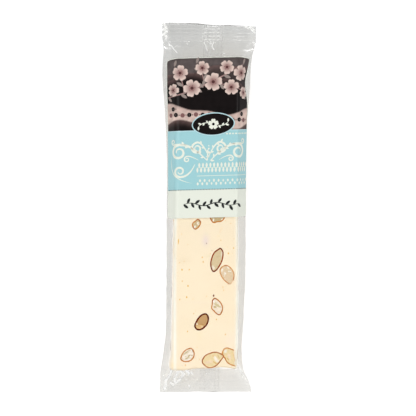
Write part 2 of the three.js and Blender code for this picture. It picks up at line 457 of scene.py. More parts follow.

# %% [markdown]
# Nougat is cream, a little warmer and darker towards the head. A painted highlight runs along its two top
# edges, where the film bends over them, and its rounded left edge and lower sides are painted paler, painted
# light against the shade that these faces get. It is waxy, so it has a soft gloss. The knife that cut the slab
# left faint strokes across the bar, so its grain is stretched across.

# %% The nougat's finish
NOUGAT_CREAM, NOUGAT_DEEP = srgb(253, 236, 206), srgb(248, 232, 203)
NOUGAT_EDGE_HIGHLIGHT, NOUGAT_SIDE_LIGHT = srgb(255, 254, 241), srgb(255, 247, 235)
HIGHLIGHT_LINE = [(-95, 18.0), (-80, 18.25), (-40, 18.65), (-5, 18.6), (85, 18.6)]
STAINS = [
    ((-0.7, -19.0), (2.0, 3.2), srgb(238, 220, 214), 0.9),
    ((-0.4, -15.2), (0.9, 0.9), srgb(238, 228, 200), 0.5),
    ((8.3, -12.2), (0.6, 0.9), srgb(249, 222, 172), 0.45),
    ((7.6, -13.8), (0.5, 0.8), srgb(247, 214, 168), 0.5),
    ((6.6, -16.5), (0.8, 0.5), srgb(250, 226, 170), 0.5),
    ((0.6, -28.3), (1.4, 0.8), srgb(236, 220, 180), 0.5),
    ((-13.5, -31.0), (4.0, 2.0), srgb(246, 228, 196), 0.75),
    ((3.0, -56.2), (8.0, 0.5), srgb(250, 232, 206), 0.6),
    ((-4.0, -55.4), (9.0, 0.4), srgb(250, 233, 208), 0.6),
    ((-7.0, -63.4), (8.0, 0.4), srgb(250, 234, 210), 0.5),
    ((9.9, -57.6), (0.6, 0.9), srgb(234, 214, 176), 0.6),
    ((-3.8, -75.0), (1.4, 2.6), srgb(252, 230, 190), 0.5),
    ((-19.4, -92.6), (1.6, 1.8), srgb(254, 230, 184), 0.8),
    ((-14.8, -94.0), (2.4, 0.8), srgb(254, 232, 190), 0.7),
    ((-11.6, -88.6), (4.6, 4.6), srgb(253, 234, 214), 0.5),
    ((14.0, -77.0), (3.6, 5.0), srgb(254, 235, 213), 0.6),
]
HIGHLIGHT_LEFT, HIGHLIGHT_RIGHT, HIGHLIGHT_IN = 0.8, 0.9, 0.5
HIGHLIGHT_FROM, HIGHLIGHT_RISE, STAINED_FROM = 9, 4, 12
SIDE_LIGHT_REACH, SIDE_LIGHT_BELOW, SIDE_LIGHT_FALL, SIDE_LIGHT_SHARE = 1.8, 12, 10, 0.4
DEEP_FROM, DEEP_RUN = -34, 24
nougat_finish = grained(
    "nougat", None, grain=(420, 3.2, 0.012), bump=0.03, roughness=0.5, specular=0.3,
    blotch=(srgb(250, 232, 200), 60, 0.55),
)


def nougat_tints(points):
    """Cream with stains, a painted highlight on the top edges, painted light on the left edge and lower sides.
    """
    x, y, z = points.T
    from_left, from_right = x + along(BAR_LEFT, y), along(BAR_RIGHT, y) - x
    # Painted highlight: a pale line along each top edge of the bar, where the film bends over it.
    pale = np.exp(-(((x + along(HIGHLIGHT_LINE, y)) / HIGHLIGHT_LEFT) ** 2))
    pale += np.exp(-(((from_right - HIGHLIGHT_IN) / HIGHLIGHT_RIGHT) ** 2))
    pale = np.clip(pale, 0, 1) * np.clip((z - HIGHLIGHT_FROM) / HIGHLIGHT_RISE, 0, 1)
    # Painted light: the rounded left edge and the lower sides are blended towards a paler colour, against the
    # shade that they get.
    side_light = np.clip(1 - from_left / SIDE_LIGHT_REACH, 0, 1)
    side_light = side_light + np.clip((SIDE_LIGHT_BELOW - z) / SIDE_LIGHT_FALL, 0, 1) * SIDE_LIGHT_SHARE
    tint = blend(plain(NOUGAT_CREAM, len(points)), NOUGAT_DEEP, (y - DEEP_FROM) / DEEP_RUN)
    for spot, size, colour, strength in STAINS:
        near = np.exp(-np.sum(((points[:, :2] - spot) / size) ** 2, axis=1)) * (z > STAINED_FROM)
        tint = blend(tint, colour, near * strength)
    return blend(blend(tint, NOUGAT_SIDE_LIGHT, side_light), NOUGAT_EDGE_HIGHLIGHT, pale)


nougat = make_piece("nougat", nougat_at, nougat_faces, [nougat_finish], tints=nougat_tints(nougat_at))
nougat_surface = BVHTree.FromPolygons(nougat_at.tolist(), nougat_faces)

# %% [markdown]
# ## The cut almonds
# The slab holds whole almonds, and the knife cuts them, so each shows as a flat section: pale flesh inside a
# thin line of brown skin. No two are alike, so each on the front has its own outline, of the few points that
# its shape needs, joined by a smooth curve. A section is a shallow plug set flush in the nougat: a ray from
# above finds the nougat under each of its points, so it follows every dent. The skin is a ring of its own
# round the flesh.

# %% Smooth closed outlines
CURVE_STEPS, OVAL_CORNERS = 12, 12


def walked(line):
    """How far each point of a line is from its start, along it."""
    return np.concatenate([[0], np.cumsum(np.linalg.norm(np.diff(line, axis=0), axis=1))])


def evenly(line, count, closed=False):
    """count evenly spaced points on a flat line. A closed line doesn't repeat its first point at the end."""
    run = walked(line)
    places = np.linspace(0, run[-1], count, endpoint=not closed)
    return np.column_stack([np.interp(places, run, line[:, k]) for k in (0, 1)])


def smooth_loop(corners, count):
    """count points on a smooth closed curve through the corners, evenly spaced along it."""
    p = np.array(corners, dtype=float)
    before, after, next_after = np.roll(p, 1, 0), np.roll(p, -1, 0), np.roll(p, -2, 0)
    t = np.linspace(0, 1, CURVE_STEPS, endpoint=False)[None, :, None]
    a, b, c, d = (q[:, None, :] for q in (before, p, after, next_after))
    curve = 0.5 * (2 * b + (c - a) * t + (2 * a - 5 * b + 4 * c - d) * t**2 + (3 * b - a - 3 * c + d) * t**3)
    curve = curve.reshape(-1, 2)
    return evenly(np.vstack([curve, curve[:1]]), count, closed=True)


def almond_loop(length, width, tip):
    """The corners of an almond's section along the first axis. tip is from 0, an oval, to 0.5, pointed."""
    turns = np.linspace(0, 2 * np.pi, OVAL_CORNERS, endpoint=False)
    across = width / 2 * np.sin(turns) * (1 - tip * np.cos(turns))
    return np.column_stack([length / 2 * np.cos(turns), across])


# %% Points on a face of the bar
FACES_OF_BAR = {
    "front": ((1, 0, 0), (0, 1, 0), (0, 0, 1)),
    "back": ((-1, 0, 0), (0, 1, 0), (0, 0, -1)),
    "left": ((0, -1, 0), (0, 0, 1), (-1, 0, 0)),
    "right": ((0, 1, 0), (0, 0, 1), (1, 0, 0)),
    "foot": ((1, 0, 0), (0, 0, 1), (0, -1, 0)),
    "head": ((-1, 0, 0), (0, 0, 1), (0, 1, 0)),
}
BAR_MIDDLE = Vector((-1.0, -5.0, 7.7))
RAY_START, RAY_LENGTH, RAY_PAST = 200, 400, 7


def on_bar(face, spots, lifts):
    """Points on a face of the bar at (a, b) spots of its plane, each lifted off it."""
    across, up, out = (Vector(v) for v in FACES_OF_BAR[face])
    to_the_bar = RAY_START - abs(BAR_MIDDLE.dot(out)) - RAY_PAST
    result = []
    for (a, b), lift in zip(spots, lifts):
        start = across * a + up * b + out * RAY_START
        hit = nougat_surface.ray_cast(start, -out, RAY_LENGTH)[0]
        if hit is None:
            hit = nougat_surface.find_nearest(start - out * to_the_bar)[0]
        result.append(hit + out * lift)
    return np.array([tuple(p) for p in result])


def inward(loop):
    """The unit direction into a loop at each of its points."""
    run = np.roll(loop, -1, 0) - np.roll(loop, 1, 0)
    run /= np.linalg.norm(run, axis=1, keepdims=True)
    normal = np.column_stack([-run[:, 1], run[:, 0]])
    area = np.sum(loop[:, 0] * np.roll(loop[:, 1], -1) - np.roll(loop[:, 0], -1) * loop[:, 1])
    return normal * (1 if area > 0 else -1)


# %% The ring of skin
SKIN_LIFTS = ((1.0, 0.05), (0.55, 0.11), (0.0, 0.05), (0.0, -0.7), (1.0, -0.7))
SKIN_WANDER, SKIN_FADE, SKIN_LEAST = 0.28, 12, 0.05


def skin_ring(face, loop, width, broken, seed):
    """Points and faces of the skin. broken is (direction, half angle) in degrees of the side without it."""
    middle = loop.mean(axis=0)
    turn = np.degrees(np.arctan2(loop[:, 1] - middle[1], loop[:, 0] - middle[0]))
    wander = 1 + SKIN_WANDER * lumps(loop, 1.1, seed)
    if broken:
        off = np.abs((turn - broken[0] + 180) % 360 - 180)
        wander *= np.clip((off - broken[1]) / SKIN_FADE, SKIN_LEAST, 1)
    wide = (width * wander)[:, None] * inward(loop)
    count = len(loop)
    points = np.vstack([on_bar(face, loop + wide * share, [lift] * count) for share, lift in SKIN_LIFTS])
    faces = []
    for k in range(len(SKIN_LIFTS)):
        for i in range(count):
            a, b = k * count + i, k * count + (i + 1) % count
            shift = count if k + 1 < len(SKIN_LIFTS) else -k * count
            faces.append((a, b, b + shift, a + shift))
    return points, faces


# %% The plug of flesh
SECTION_POINTS, SECTION_RINGS = 96, 18
FLESH_LIFT, FLESH_DOME, FLESH_DEPTH, FLESH_INSET, FLESH_CORE = 0.03, 0.05, 0.65, 0.6, 0.04


def flesh_plug(face, loop, width, rough, seed):
    """Points and faces of the flesh, out to the middle of the skin, and its flat spots for colouring."""
    middle = loop.mean(axis=0)
    edge = loop + inward(loop) * width * FLESH_INSET
    shares = np.linspace(1, FLESH_CORE, SECTION_RINGS)
    spots = np.vstack([middle + (edge - middle) * s for s in shares])
    spread = np.repeat(shares, len(loop))
    uneven = bumps(spots, (1, 0.8, seed), (1, 0.35, seed + 1))
    lifts = FLESH_LIFT + FLESH_DOME * (1 - spread**2) + rough * uneven * (1 - spread**6)
    count = len(loop)
    top = on_bar(face, spots, lifts)
    centre = on_bar(face, [middle], [lifts[-count:].mean()])
    rim = on_bar(face, edge, [-FLESH_DEPTH] * count)
    floor = on_bar(face, [middle], [-FLESH_DEPTH])
    points = np.vstack([top, centre, rim, floor])
    faces = ring_faces(SECTION_RINGS, count)
    last, hub = (SECTION_RINGS - 1) * count, SECTION_RINGS * count
    for i in range(count):
        j = (i + 1) % count
        faces.append((last + i, last + j, hub))
        faces.append((i, j, hub + 1 + j, hub + 1 + i))
        faces.append((hub + 1 + i, hub + 1 + j, hub + 1 + count))
    flat = np.vstack([spots, [middle], edge, [middle]])
    return points, faces, flat, np.concatenate([spread, [0], np.ones(count), [0]])


# %% [markdown]
# Flesh is tan where the knife slid through it and nearly white where it broke. So its colour is mixed for
# each point: a base, pale and dark patches of noise, and for some almonds a patch of their own at a stated
# place. The skin goes from dark brown to orange round the ring.

# %% Colours of one almond
PALE_FLESH, ROUGH_WHITE = srgb(246, 236, 218), srgb(252, 245, 234)
DARK_FROM, DARK_GAIN = 0.1, 1.54
MOTTLE_FROM, MOTTLE_REACH, MOTTLE_GAIN = 0.55, 1.3, 3.2
PATCH_REACH, PATCH_GAIN, RIM_FROM, RIM_GAIN = 1.25, 1.6, 0.9, 7
SKIN_DARK, SKIN_PATCHES, SKIN_PATCH_SIZE, SKIN_ENDS, ENDS_FROM = 0.35, 1.1, 2.4, 1.4, 0.7


def flesh_tints(flat, spread, colour, dark, rim, mottle, patches, seed):
    """The colour of each flat spot. mottle is the share of white patches, and rim stains the edge.

    patches is ((x, y), (half length, half width), turn in degrees, colour) each.
    """
    cloud = bumps(flat, (1, 1.9, seed), (0.7, 0.8, seed + 3))
    streak = lumps(flat * [1.0, 2.4], 1.5, seed + 5) + 0.4 * lumps(flat, 0.6, seed + 8)
    tint = blend(plain(colour, len(flat)), dark, (streak - DARK_FROM) * DARK_GAIN)
    if mottle:
        tint = blend(tint, ROUGH_WHITE, (cloud - MOTTLE_FROM + mottle * MOTTLE_REACH) * MOTTLE_GAIN)
    for spot, size, turn, own in patches:
        c, s = math.cos(math.radians(turn)), math.sin(math.radians(turn))
        away = (flat - spot) @ np.array([[c, -s], [s, c]])
        reach = np.sum((away / size) ** 2, axis=1) + 0.5 * cloud
        tint = blend(tint, own, (PATCH_REACH - reach) * PATCH_GAIN)
    return blend(tint, rim, (spread - RIM_FROM) * RIM_GAIN)


def skin_tints(points, loop_points, colour, dark, seed):
    """The skin's colour: darkest at the two ends of the almond, and in places between them."""
    flat = points[:, :2] - loop_points.mean(axis=0)[:2]
    axis = np.linalg.svd(loop_points[:, :2] - loop_points[:, :2].mean(axis=0), full_matrices=False)[2][0]
    ends = np.abs(flat @ axis) / np.abs(flat @ axis).max()
    share = SKIN_DARK + bumps(points, (SKIN_PATCHES, SKIN_PATCH_SIZE, seed)) + SKIN_ENDS * (ends - ENDS_FROM)
    return blend(plain(colour, len(points)), dark, share)


flesh_finish = grained("almond_flesh", None, grain=(1050, 1.0, 0.17), bump=0.05, roughness=0.55, specular=0.3)
skin_finish = grained("almond_skin", None, grain=(2200, 1.0, 0.16), bump=0.05, roughness=0.6, specular=0.08)

# %% [markdown]
# These are the nine almonds on the front, by their outlines in millimetres on the pack. Two don't show a whole
# ring of skin: the second runs on under the label, and the ninth has broken along the bar's edge.

# %% The almonds on the front
TAN, CARAMEL, YELLOW = srgb(217, 196, 156), srgb(198, 156, 105), srgb(238, 216, 168)
OLIVE, PALE_ORANGE, ORANGE_BROWN = srgb(212, 193, 150), srgb(220, 160, 100), srgb(204, 131, 56)
BROWN, PINK_BROWN, RED_BROWN = srgb(166, 92, 44), srgb(188, 118, 72), srgb(152, 60, 6)
DARK_BROWN, BLACK_BROWN = srgb(106, 30, 2), srgb(84, 32, 6)
FRONT_ALMONDS = [
    dict(outline=[(-5.4, -6.5), (-3.7, -8.2), (-4.1, -10.4), (-5.5, -12.1), (-7.0, -12.9), (-8.5, -11.7),
                  (-9.0, -9.9), (-8.3, -8.5), (-7.0, -7.6)],
         skin=0.64, skins=(ORANGE_BROWN, BROWN), flesh=(OLIVE, CARAMEL, ORANGE_BROWN), mottle=0.15,
         rough=0.06, patches=[((-7.2, -11.2), (0.45, 0.8), -20, ROUGH_WHITE),
                              ((-5.6, -9.0), (0.8, 0.4), 40, PALE_FLESH)]),
    dict(outline=[(1.3, -5.4), (1.8, -6.9), (2.7, -8.3), (4.0, -9.0), (6.0, -8.4), (8.0, -8.2), (9.5, -7.0),
                  (10.4, -5.3), (10.1, -2.4), (8.0, 0.0), (4.4, 0.3), (2.0, -2.1)],
         skin=0.66, skins=(ORANGE_BROWN, BROWN), flesh=(srgb(196, 176, 132), CARAMEL, BROWN), mottle=0.0,
         rough=0.05, patches=[((3.6, -7.2), (0.35, 1.1), -15, ROUGH_WHITE),
                              ((8.7, -6.6), (0.8, 0.5), 30, PALE_FLESH)]),
    dict(outline=[(7.8, -23.3), (9.1, -24.5), (9.7, -26.5), (9.4, -29.8), (8.3, -32.8), (6.3, -36.0),
                  (4.2, -37.6), (2.8, -36.6), (2.0, -34.1), (2.0, -31.4), (2.9, -28.1), (4.2, -25.7),
                  (6.1, -24.2)],
         skin=0.74, skins=(RED_BROWN, DARK_BROWN), flesh=(TAN, srgb(212, 188, 144), ORANGE_BROWN), mottle=0.0,
         rough=0.015, patches=[((3.6, -35.0), (1.0, 1.5), 0, srgb(240, 228, 204)),
                               ((8.6, -27.0), (0.3, 2.2), -8, srgb(238, 228, 210))]),
    dict(outline=[(10.9, -33.3), (13.1, -34.0), (14.9, -35.7), (16.1, -38.4), (16.0, -41.1), (15.3, -43.2),
                  (13.9, -44.9), (11.7, -43.8), (9.3, -41.5), (7.9, -39.1), (7.4, -36.7), (8.3, -34.6)],
         skin=0.61, skins=(PALE_ORANGE, PINK_BROWN), flesh=(srgb(229, 204, 169), TAN, PALE_ORANGE),
         mottle=0.25, rough=0.06, broken=(-62, 14),
         patches=[((10.9, -38.4), (0.4, 0.5), 0, ROUGH_WHITE), ((12.9, -37.0), (0.4, 0.4), 0, ROUGH_WHITE),
                  ((8.9, -36.3), (0.5, 1.1), -20, PALE_FLESH), ((12.4, -34.8), (0.9, 0.5), -40, PALE_FLESH)]),
    dict(outline=[(4.8, -52.6), (7.0, -53.7), (9.0, -56.0), (9.7, -58.4), (9.3, -60.8), (8.0, -62.7),
                  (6.2, -62.3), (4.4, -60.7), (2.8, -58.8), (3.0, -56.4), (3.3, -54.0)],
         skin=0.66, skins=(ORANGE_BROWN, BROWN), flesh=(srgb(244, 229, 208), OLIVE, PALE_ORANGE), mottle=0.0,
         rough=0.09, patches=[((6.4, -57.0), (2.4, 0.7), -30, srgb(214, 197, 150)),
                              ((5.0, -57.9), (0.9, 0.5), 0, srgb(196, 172, 118)),
                              ((4.2, -54.6), (0.5, 1.0), 30, ROUGH_WHITE)]),
    dict(outline=[(-0.5, -61.6), (1.0, -62.7), (1.6, -64.5), (1.1, -67.5), (-0.4, -69.7), (-2.5, -71.4),
                  (-4.7, -71.8), (-6.4, -70.8), (-7.1, -69.0), (-6.4, -66.9), (-5.1, -64.5), (-3.0, -62.4)],
         skin=0.9, skins=(DARK_BROWN, BLACK_BROWN), flesh=(CARAMEL, srgb(200, 158, 106), ORANGE_BROWN),
         mottle=0.0, rough=0.02, patches=[((-4.6, -69.7), (2.6, 1.3), 20, srgb(226, 186, 130)),
                              ((-5.5, -68.0), (0.7, 0.5), -30, srgb(246, 230, 200)),
                              ((-2.4, -69.6), (0.8, 0.4), 30, srgb(238, 208, 162)),
                              ((-2.6, -68.2), (1.6, 0.22), -6, srgb(178, 132, 66))]),
    dict(outline=[(-9.2, -81.9), (-7.3, -83.1), (-6.6, -85.4), (-7.1, -87.8), (-9.0, -89.7), (-11.7, -90.4),
                  (-14.1, -89.7), (-15.0, -88.2), (-14.1, -85.5), (-12.4, -83.4)],
         skin=0.66, skins=(ORANGE_BROWN, PINK_BROWN), flesh=(srgb(247, 235, 219), OLIVE, PALE_ORANGE),
         mottle=0.0, rough=0.11, patches=[((-11.4, -84.6), (2.4, 0.35), 38, srgb(198, 178, 132)),
                              ((-9.8, -86.6), (1.0, 0.4), 40, srgb(186, 164, 118)),
                              ((-8.3, -86.4), (0.7, 0.35), -30, srgb(196, 178, 134)),
                              ((-11.5, -88.3), (1.2, 0.3), 20, srgb(194, 174, 128)),
                              ((-7.6, -83.9), (0.3, 0.7), 30, srgb(92, 58, 40))]),
    dict(outline=[(4.4, -84.1), (7.3, -84.4), (10.5, -86.3), (9.2, -88.9), (7.1, -91.6), (4.5, -93.4),
                  (1.5, -93.7), (-0.9, -92.3), (-2.4, -90.5), (-2.0, -88.1), (0.2, -85.7)],
         skin=0.64, skins=(PINK_BROWN, BROWN), flesh=(YELLOW, srgb(236, 212, 156), PALE_ORANGE), mottle=0.0,
         rough=0.04, patches=[((5.9, -88.4), (2.3, 1.0), -52, srgb(249, 237, 218)),
                              ((1.6, -90.2), (2.6, 0.9), 12, srgb(242, 217, 184)),
                              ((7.4, -87.0), (1.5, 0.3), -64, srgb(208, 178, 122)),
                              ((5.4, -90.6), (1.8, 0.25), -35, srgb(214, 176, 108)),
                              ((4.2, -86.6), (0.5, 0.35), 0, srgb(232, 184, 106))]),
    dict(outline=[(12.1, -81.5), (14.2, -82.0), (16.1, -82.8), (16.5, -84.9), (16.9, -87.3), (17.5, -88.8),
                  (16.9, -90.2), (17.3, -92.4), (15.2, -92.1), (12.5, -90.6), (11.0, -88.3), (9.4, -85.6),
                  (9.4, -84.1), (10.3, -82.3)],
         skin=0.66, skins=(ORANGE_BROWN, PALE_ORANGE), flesh=(YELLOW, srgb(238, 212, 160), PALE_ORANGE),
         mottle=0.0, rough=0.06, broken=(-2, 52),
         patches=[((11.3, -83.6), (0.9, 1.3), -20, srgb(244, 234, 216)),
                  ((13.6, -87.0), (0.9, 2.0), 14, srgb(242, 219, 190)),
                  ((12.9, -88.2), (1.0, 0.35), -50, srgb(218, 186, 118)),
                  ((16.4, -86.4), (0.5, 2.6), 10, srgb(236, 200, 128))]),
]


# %% Make the front almonds
def almond(face, number, outline, skin, skins, flesh, mottle, rough, patches=(), broken=None):
    """Points, faces and tints of one almond's flesh and of its skin."""
    loop = smooth_loop(outline, SECTION_POINTS)
    points, faces, flat, spread = flesh_plug(face, loop, skin, rough, number * 7)
    flesh_part = (points, faces, flesh_tints(flat, spread, *flesh, mottle, patches, number * 11))
    points, faces = skin_ring(face, loop, skin, broken, number * 5)
    return flesh_part, (points, faces, skin_tints(points, points[:SECTION_POINTS], *skins, number * 3))


almonds = {}


def keep_almonds(where, *parts):
    """Makes a piece of flesh and a piece of skin from their two parts, and lists them."""
    for kind, finish, (points, faces, tints) in zip(("flesh", "skin"), (flesh_finish, skin_finish), parts):
        name = f"almond_{kind}_{where}"
        almonds[name] = make_piece(name, points, faces, [finish], tints)


for number, made in enumerate(FRONT_ALMONDS, start=1):
    keep_almonds(number, *almond("front", number, **made))
print("Front almonds:", len(FRONT_ALMONDS))

# %% [markdown]
# The photo doesn't show the back and the sides of the bar. The slab was cut there too, so they get almonds of
# the same kinds and about as many for their area. A seeded random choice picks size, turn and kind, and the
# places keep clear of each other.

# %% The almonds on the other faces
SHORTEST, TIPS, SLIMNESS, SIDE_TURN, KEEP_CLEAR, FIRST_NUMBER = 0.72, (0.1, 0.4), (0.55, 0.72), 0.35, 1, 20
HIDDEN_FACES = {
    "back": dict(a=(-14.5, 14.5), b=(-86, 76), count=15, longest=12.0),
    "left": dict(a=(-74, 86), b=(4.6, 9.4), count=7, longest=7.6),
    "right": dict(a=(-86, 74), b=(4.6, 10.2), count=7, longest=7.6),
    "foot": dict(a=(-12, 10), b=(5.5, 9.5), count=2, longest=7.0),
    "head": dict(a=(-10, 12), b=(5.5, 9.5), count=2, longest=7.0),
}
draw = random.Random(29)


def join(parts):
    """Several (points, faces, tints) parts as one."""
    points, faces, tints, start = [], [], [], 0
    for part_points, part_faces, part_tints in parts:
        points.append(part_points)
        faces += [tuple(i + start for i in f) for f in part_faces]
        tints.append(part_tints)
        start += len(part_points)
    return np.vstack(points), faces, np.vstack(tints)


for face, area in HIDDEN_FACES.items():
    taken, parts = [], []
    while len(taken) < area["count"]:
        spot = (draw.uniform(*area["a"]), draw.uniform(*area["b"]))
        length = draw.uniform(SHORTEST, 1.0) * area["longest"]
        clear = all(math.dist(spot, other) > (length + reach) / 2 + KEEP_CLEAR for other, reach in taken)
        kind = draw.choice(FRONT_ALMONDS)
        turn = draw.uniform(0, math.pi) if face == "back" else draw.uniform(-SIDE_TURN, SIDE_TURN)
        tip, slim = draw.uniform(*TIPS), draw.uniform(*SLIMNESS)
        if not clear:
            continue
        taken.append((spot, length))
        loop = almond_loop(length, length * slim, tip)
        loop = loop @ np.array([[math.cos(turn), math.sin(turn)], [-math.sin(turn), math.cos(turn)]]) + spot
        settings = {key: kind[key] for key in ("skin", "skins", "flesh", "mottle", "rough")}
        parts.append(almond(face, FIRST_NUMBER + len(taken), loop, **settings))
    keep_almonds(face, *(join(same_kind) for same_kind in zip(*parts)))
    print(face, "has", len(parts), "almonds")

# %% [markdown]
# ## Crumbs in the nougat
# Tiny bits of almond and caramel dot the nougat, most of them orange and one or two grey-brown. Geometry
# Nodes scatter them over the bar's own mesh, with the density, the size and the seed as inputs, and each
# point gets a flattened ball. The crumbs that stand out on the front are loose points of the same mesh, and
# the tree turns them into balls too.

# %% Helpers for Geometry Nodes
def geometry_tree(name, inputs):
    """An empty tree that takes a mesh and gives one, with more inputs {name: (socket type, default)}."""
    return node_group(name, "GeometryNodeTree", {"Geometry": (SHAPE, None), **inputs}, {"Geometry": SHAPE})


def end_tree(tree, shape, given, result):
    """Ends a tree: its copies become real, because the export drops instances, and get the material."""
    real = add_node(tree, "GeometryNodeRealizeInstances", in_0=shape)
    finish = add_node(tree, "GeometryNodeSetMaterial", in_0=real, in_Material=(given, "Material"))
    feed(result, in_0=finish)


def named_number(tree, name):
    """The number that the mesh carries for each point under this name."""
    return add_node(tree, "GeometryNodeInputNamedAttribute", data_type="FLOAT", in_0=name)


def keep_number(tree, shape, name, value):
    """The shape, carrying this number for each point under this name."""
    return add_node(tree, "GeometryNodeStoreNamedAttribute", data_type="FLOAT", domain="POINT",
                    in_0=shape, in_2=name, in_Value=value)


def run_tree(piece, tree, **inputs):
    """Runs the tree on the piece, keeps the result as a plain mesh, and removes the modifier."""
    modifier = piece.modifiers.new(tree.name, "NODES")
    modifier.node_group = tree
    for socket in tree.interface.items_tree:
        key = socket.name.replace(" ", "_").lower()
        if socket.in_out == "INPUT" and key in inputs:
            modifier[socket.identifier] = inputs[key]
    piece.update_tag()
    graph = bpy.context.evaluated_depsgraph_get()
    made = bpy.data.meshes.new_from_object(piece.evaluated_get(graph))
    piece.modifiers.remove(modifier)
    piece.data = made
    return piece


# %% The tree that makes the crumbs
CRUMB_LOOK = dict(grain=(3000, 1.0, 0.1), bump=0.02, roughness=0.6, specular=0.1)
crumb_finish = grained("crumbs", srgb(236, 192, 88), **CRUMB_LOOK)
dark_crumb_finish = grained("dark_crumbs", srgb(122, 66, 34), **CRUMB_LOOK)
CRUMBS, given, result = geometry_tree("Crumbs", {
    "Density": (NUMBER, 9000.0), "Radius": (NUMBER, 0.2 * MM), "Seed": (WHOLE, 4),
    "Material": (FINISH, crumb_finish),
})
bar_mesh, seed = (given, "Geometry"), (given, "Seed")
scatter = add_node(CRUMBS, "GeometryNodeDistributePointsOnFaces", in_Mesh=bar_mesh,
                   in_Density=(given, "Density"), in_Seed=seed)
small = add_node(CRUMBS, "FunctionNodeRandomValue", data_type="FLOAT", in_2=0.35, in_3=0.9, in_Seed=seed)
scattered = keep_number(CRUMBS, (scatter, "Points"), "crumb_size", (small, 1))
crumb_size = named_number(CRUMBS, "crumb_size")
is_noted = add_node(CRUMBS, "FunctionNodeCompare", data_type="FLOAT", in_0=crumb_size, in_1=0.01)
noted_points = add_node(CRUMBS, "GeometryNodeMeshToPoints", in_Mesh=bar_mesh, in_Selection=is_noted)
everywhere = add_node(CRUMBS, "GeometryNodeJoinGeometry", in_0=scattered)
feed(everywhere, in_0=noted_points)

radius = maths(CRUMBS, "MULTIPLY", crumb_size, (given, "Radius"))
wide, thin = maths(CRUMBS, "MULTIPLY", radius, 1.25), maths(CRUMBS, "MULTIPLY", radius, 0.3)
flattened = add_node(CRUMBS, "ShaderNodeCombineXYZ", in_X=radius, in_Y=wide, in_Z=thin)
ball = add_node(CRUMBS, "GeometryNodeMeshIcoSphere", in_Subdivisions=2)
balls = add_node(CRUMBS, "GeometryNodeInstanceOnPoints", in_Points=everywhere, in_Instance=(ball, "Mesh"),
                 in_Scale=flattened, in_Rotation=(scatter, "Rotation"))
end_tree(CRUMBS, balls, given, result)

# %% Scatter them
CRUMB_RADIUS, CRUMB_SEED = 0.27 * MM, 4
NOTED_CRUMBS = [
    (-14.5, -36.4, 1.7), (-10.3, -36.3, 1.3), (-10.9, -45.8, 1.7), (-11.6, -52.4, 1.7), (-15.6, -53.8, 1.2),
    (-2.7, -29.0, 1.3), (-2.2, -31.7, 1.4), (12.5, -26.5, 1.6), (15.5, -23.4, 1.3), (-16.7, -19.0, 1.3),
    (-16.7, -20.0, 1.4), (-16.8, -20.9, 1.1), (-10.9, -72.4, 1.3), (11.2, -73.9, 1.3), (8.0, -18.9, 1.0),
    (-14.3, -43.0, 1.2), (9.5, -46.3, 1.1), (10.0, -48.1, 1.1), (5.9, -65.2, 1.3), (-7.4, -61.9, 1.0),
    (-12.0, -92.1, 1.3),
]
DARK_CRUMBS = [(4.1, -51.2, 1.7), (4.2, -51.7, 1.2), (-0.3, -20.8, 0.9), (2.9, -24.9, 0.7)]


def scatter_crumbs(name, noted, density, finish):
    """Crumbs at the noted (x, y, size) places on the front, and density of them a square metre everywhere."""
    places = on_bar("front", [(x, y) for x, y, _ in noted], [0.02] * len(noted))
    mesh = bpy.data.meshes.new(name)
    mesh.from_pydata((np.vstack([nougat_at, places]) * MM).tolist(), [], nougat_faces)
    sizes = np.concatenate([np.zeros(len(nougat_at)), [size for _, _, size in noted]])
    mesh.attributes.new("crumb_size", "FLOAT", "POINT").data.foreach_set("value", sizes)
    piece = add_object(name, mesh)
    return run_tree(piece, CRUMBS, density=density, radius=CRUMB_RADIUS, seed=CRUMB_SEED, material=finish)


crumbs = scatter_crumbs("crumbs", NOTED_CRUMBS, 9000.0, crumb_finish)
dark_crumbs = scatter_crumbs("dark_crumbs", DARK_CRUMBS, 500.0, dark_crumb_finish)
print("The crumbs have", len(crumbs.data.polygons) + len(dark_crumbs.data.polygons), "faces")
print("Crumb faces:", len(crumbs.data.polygons))
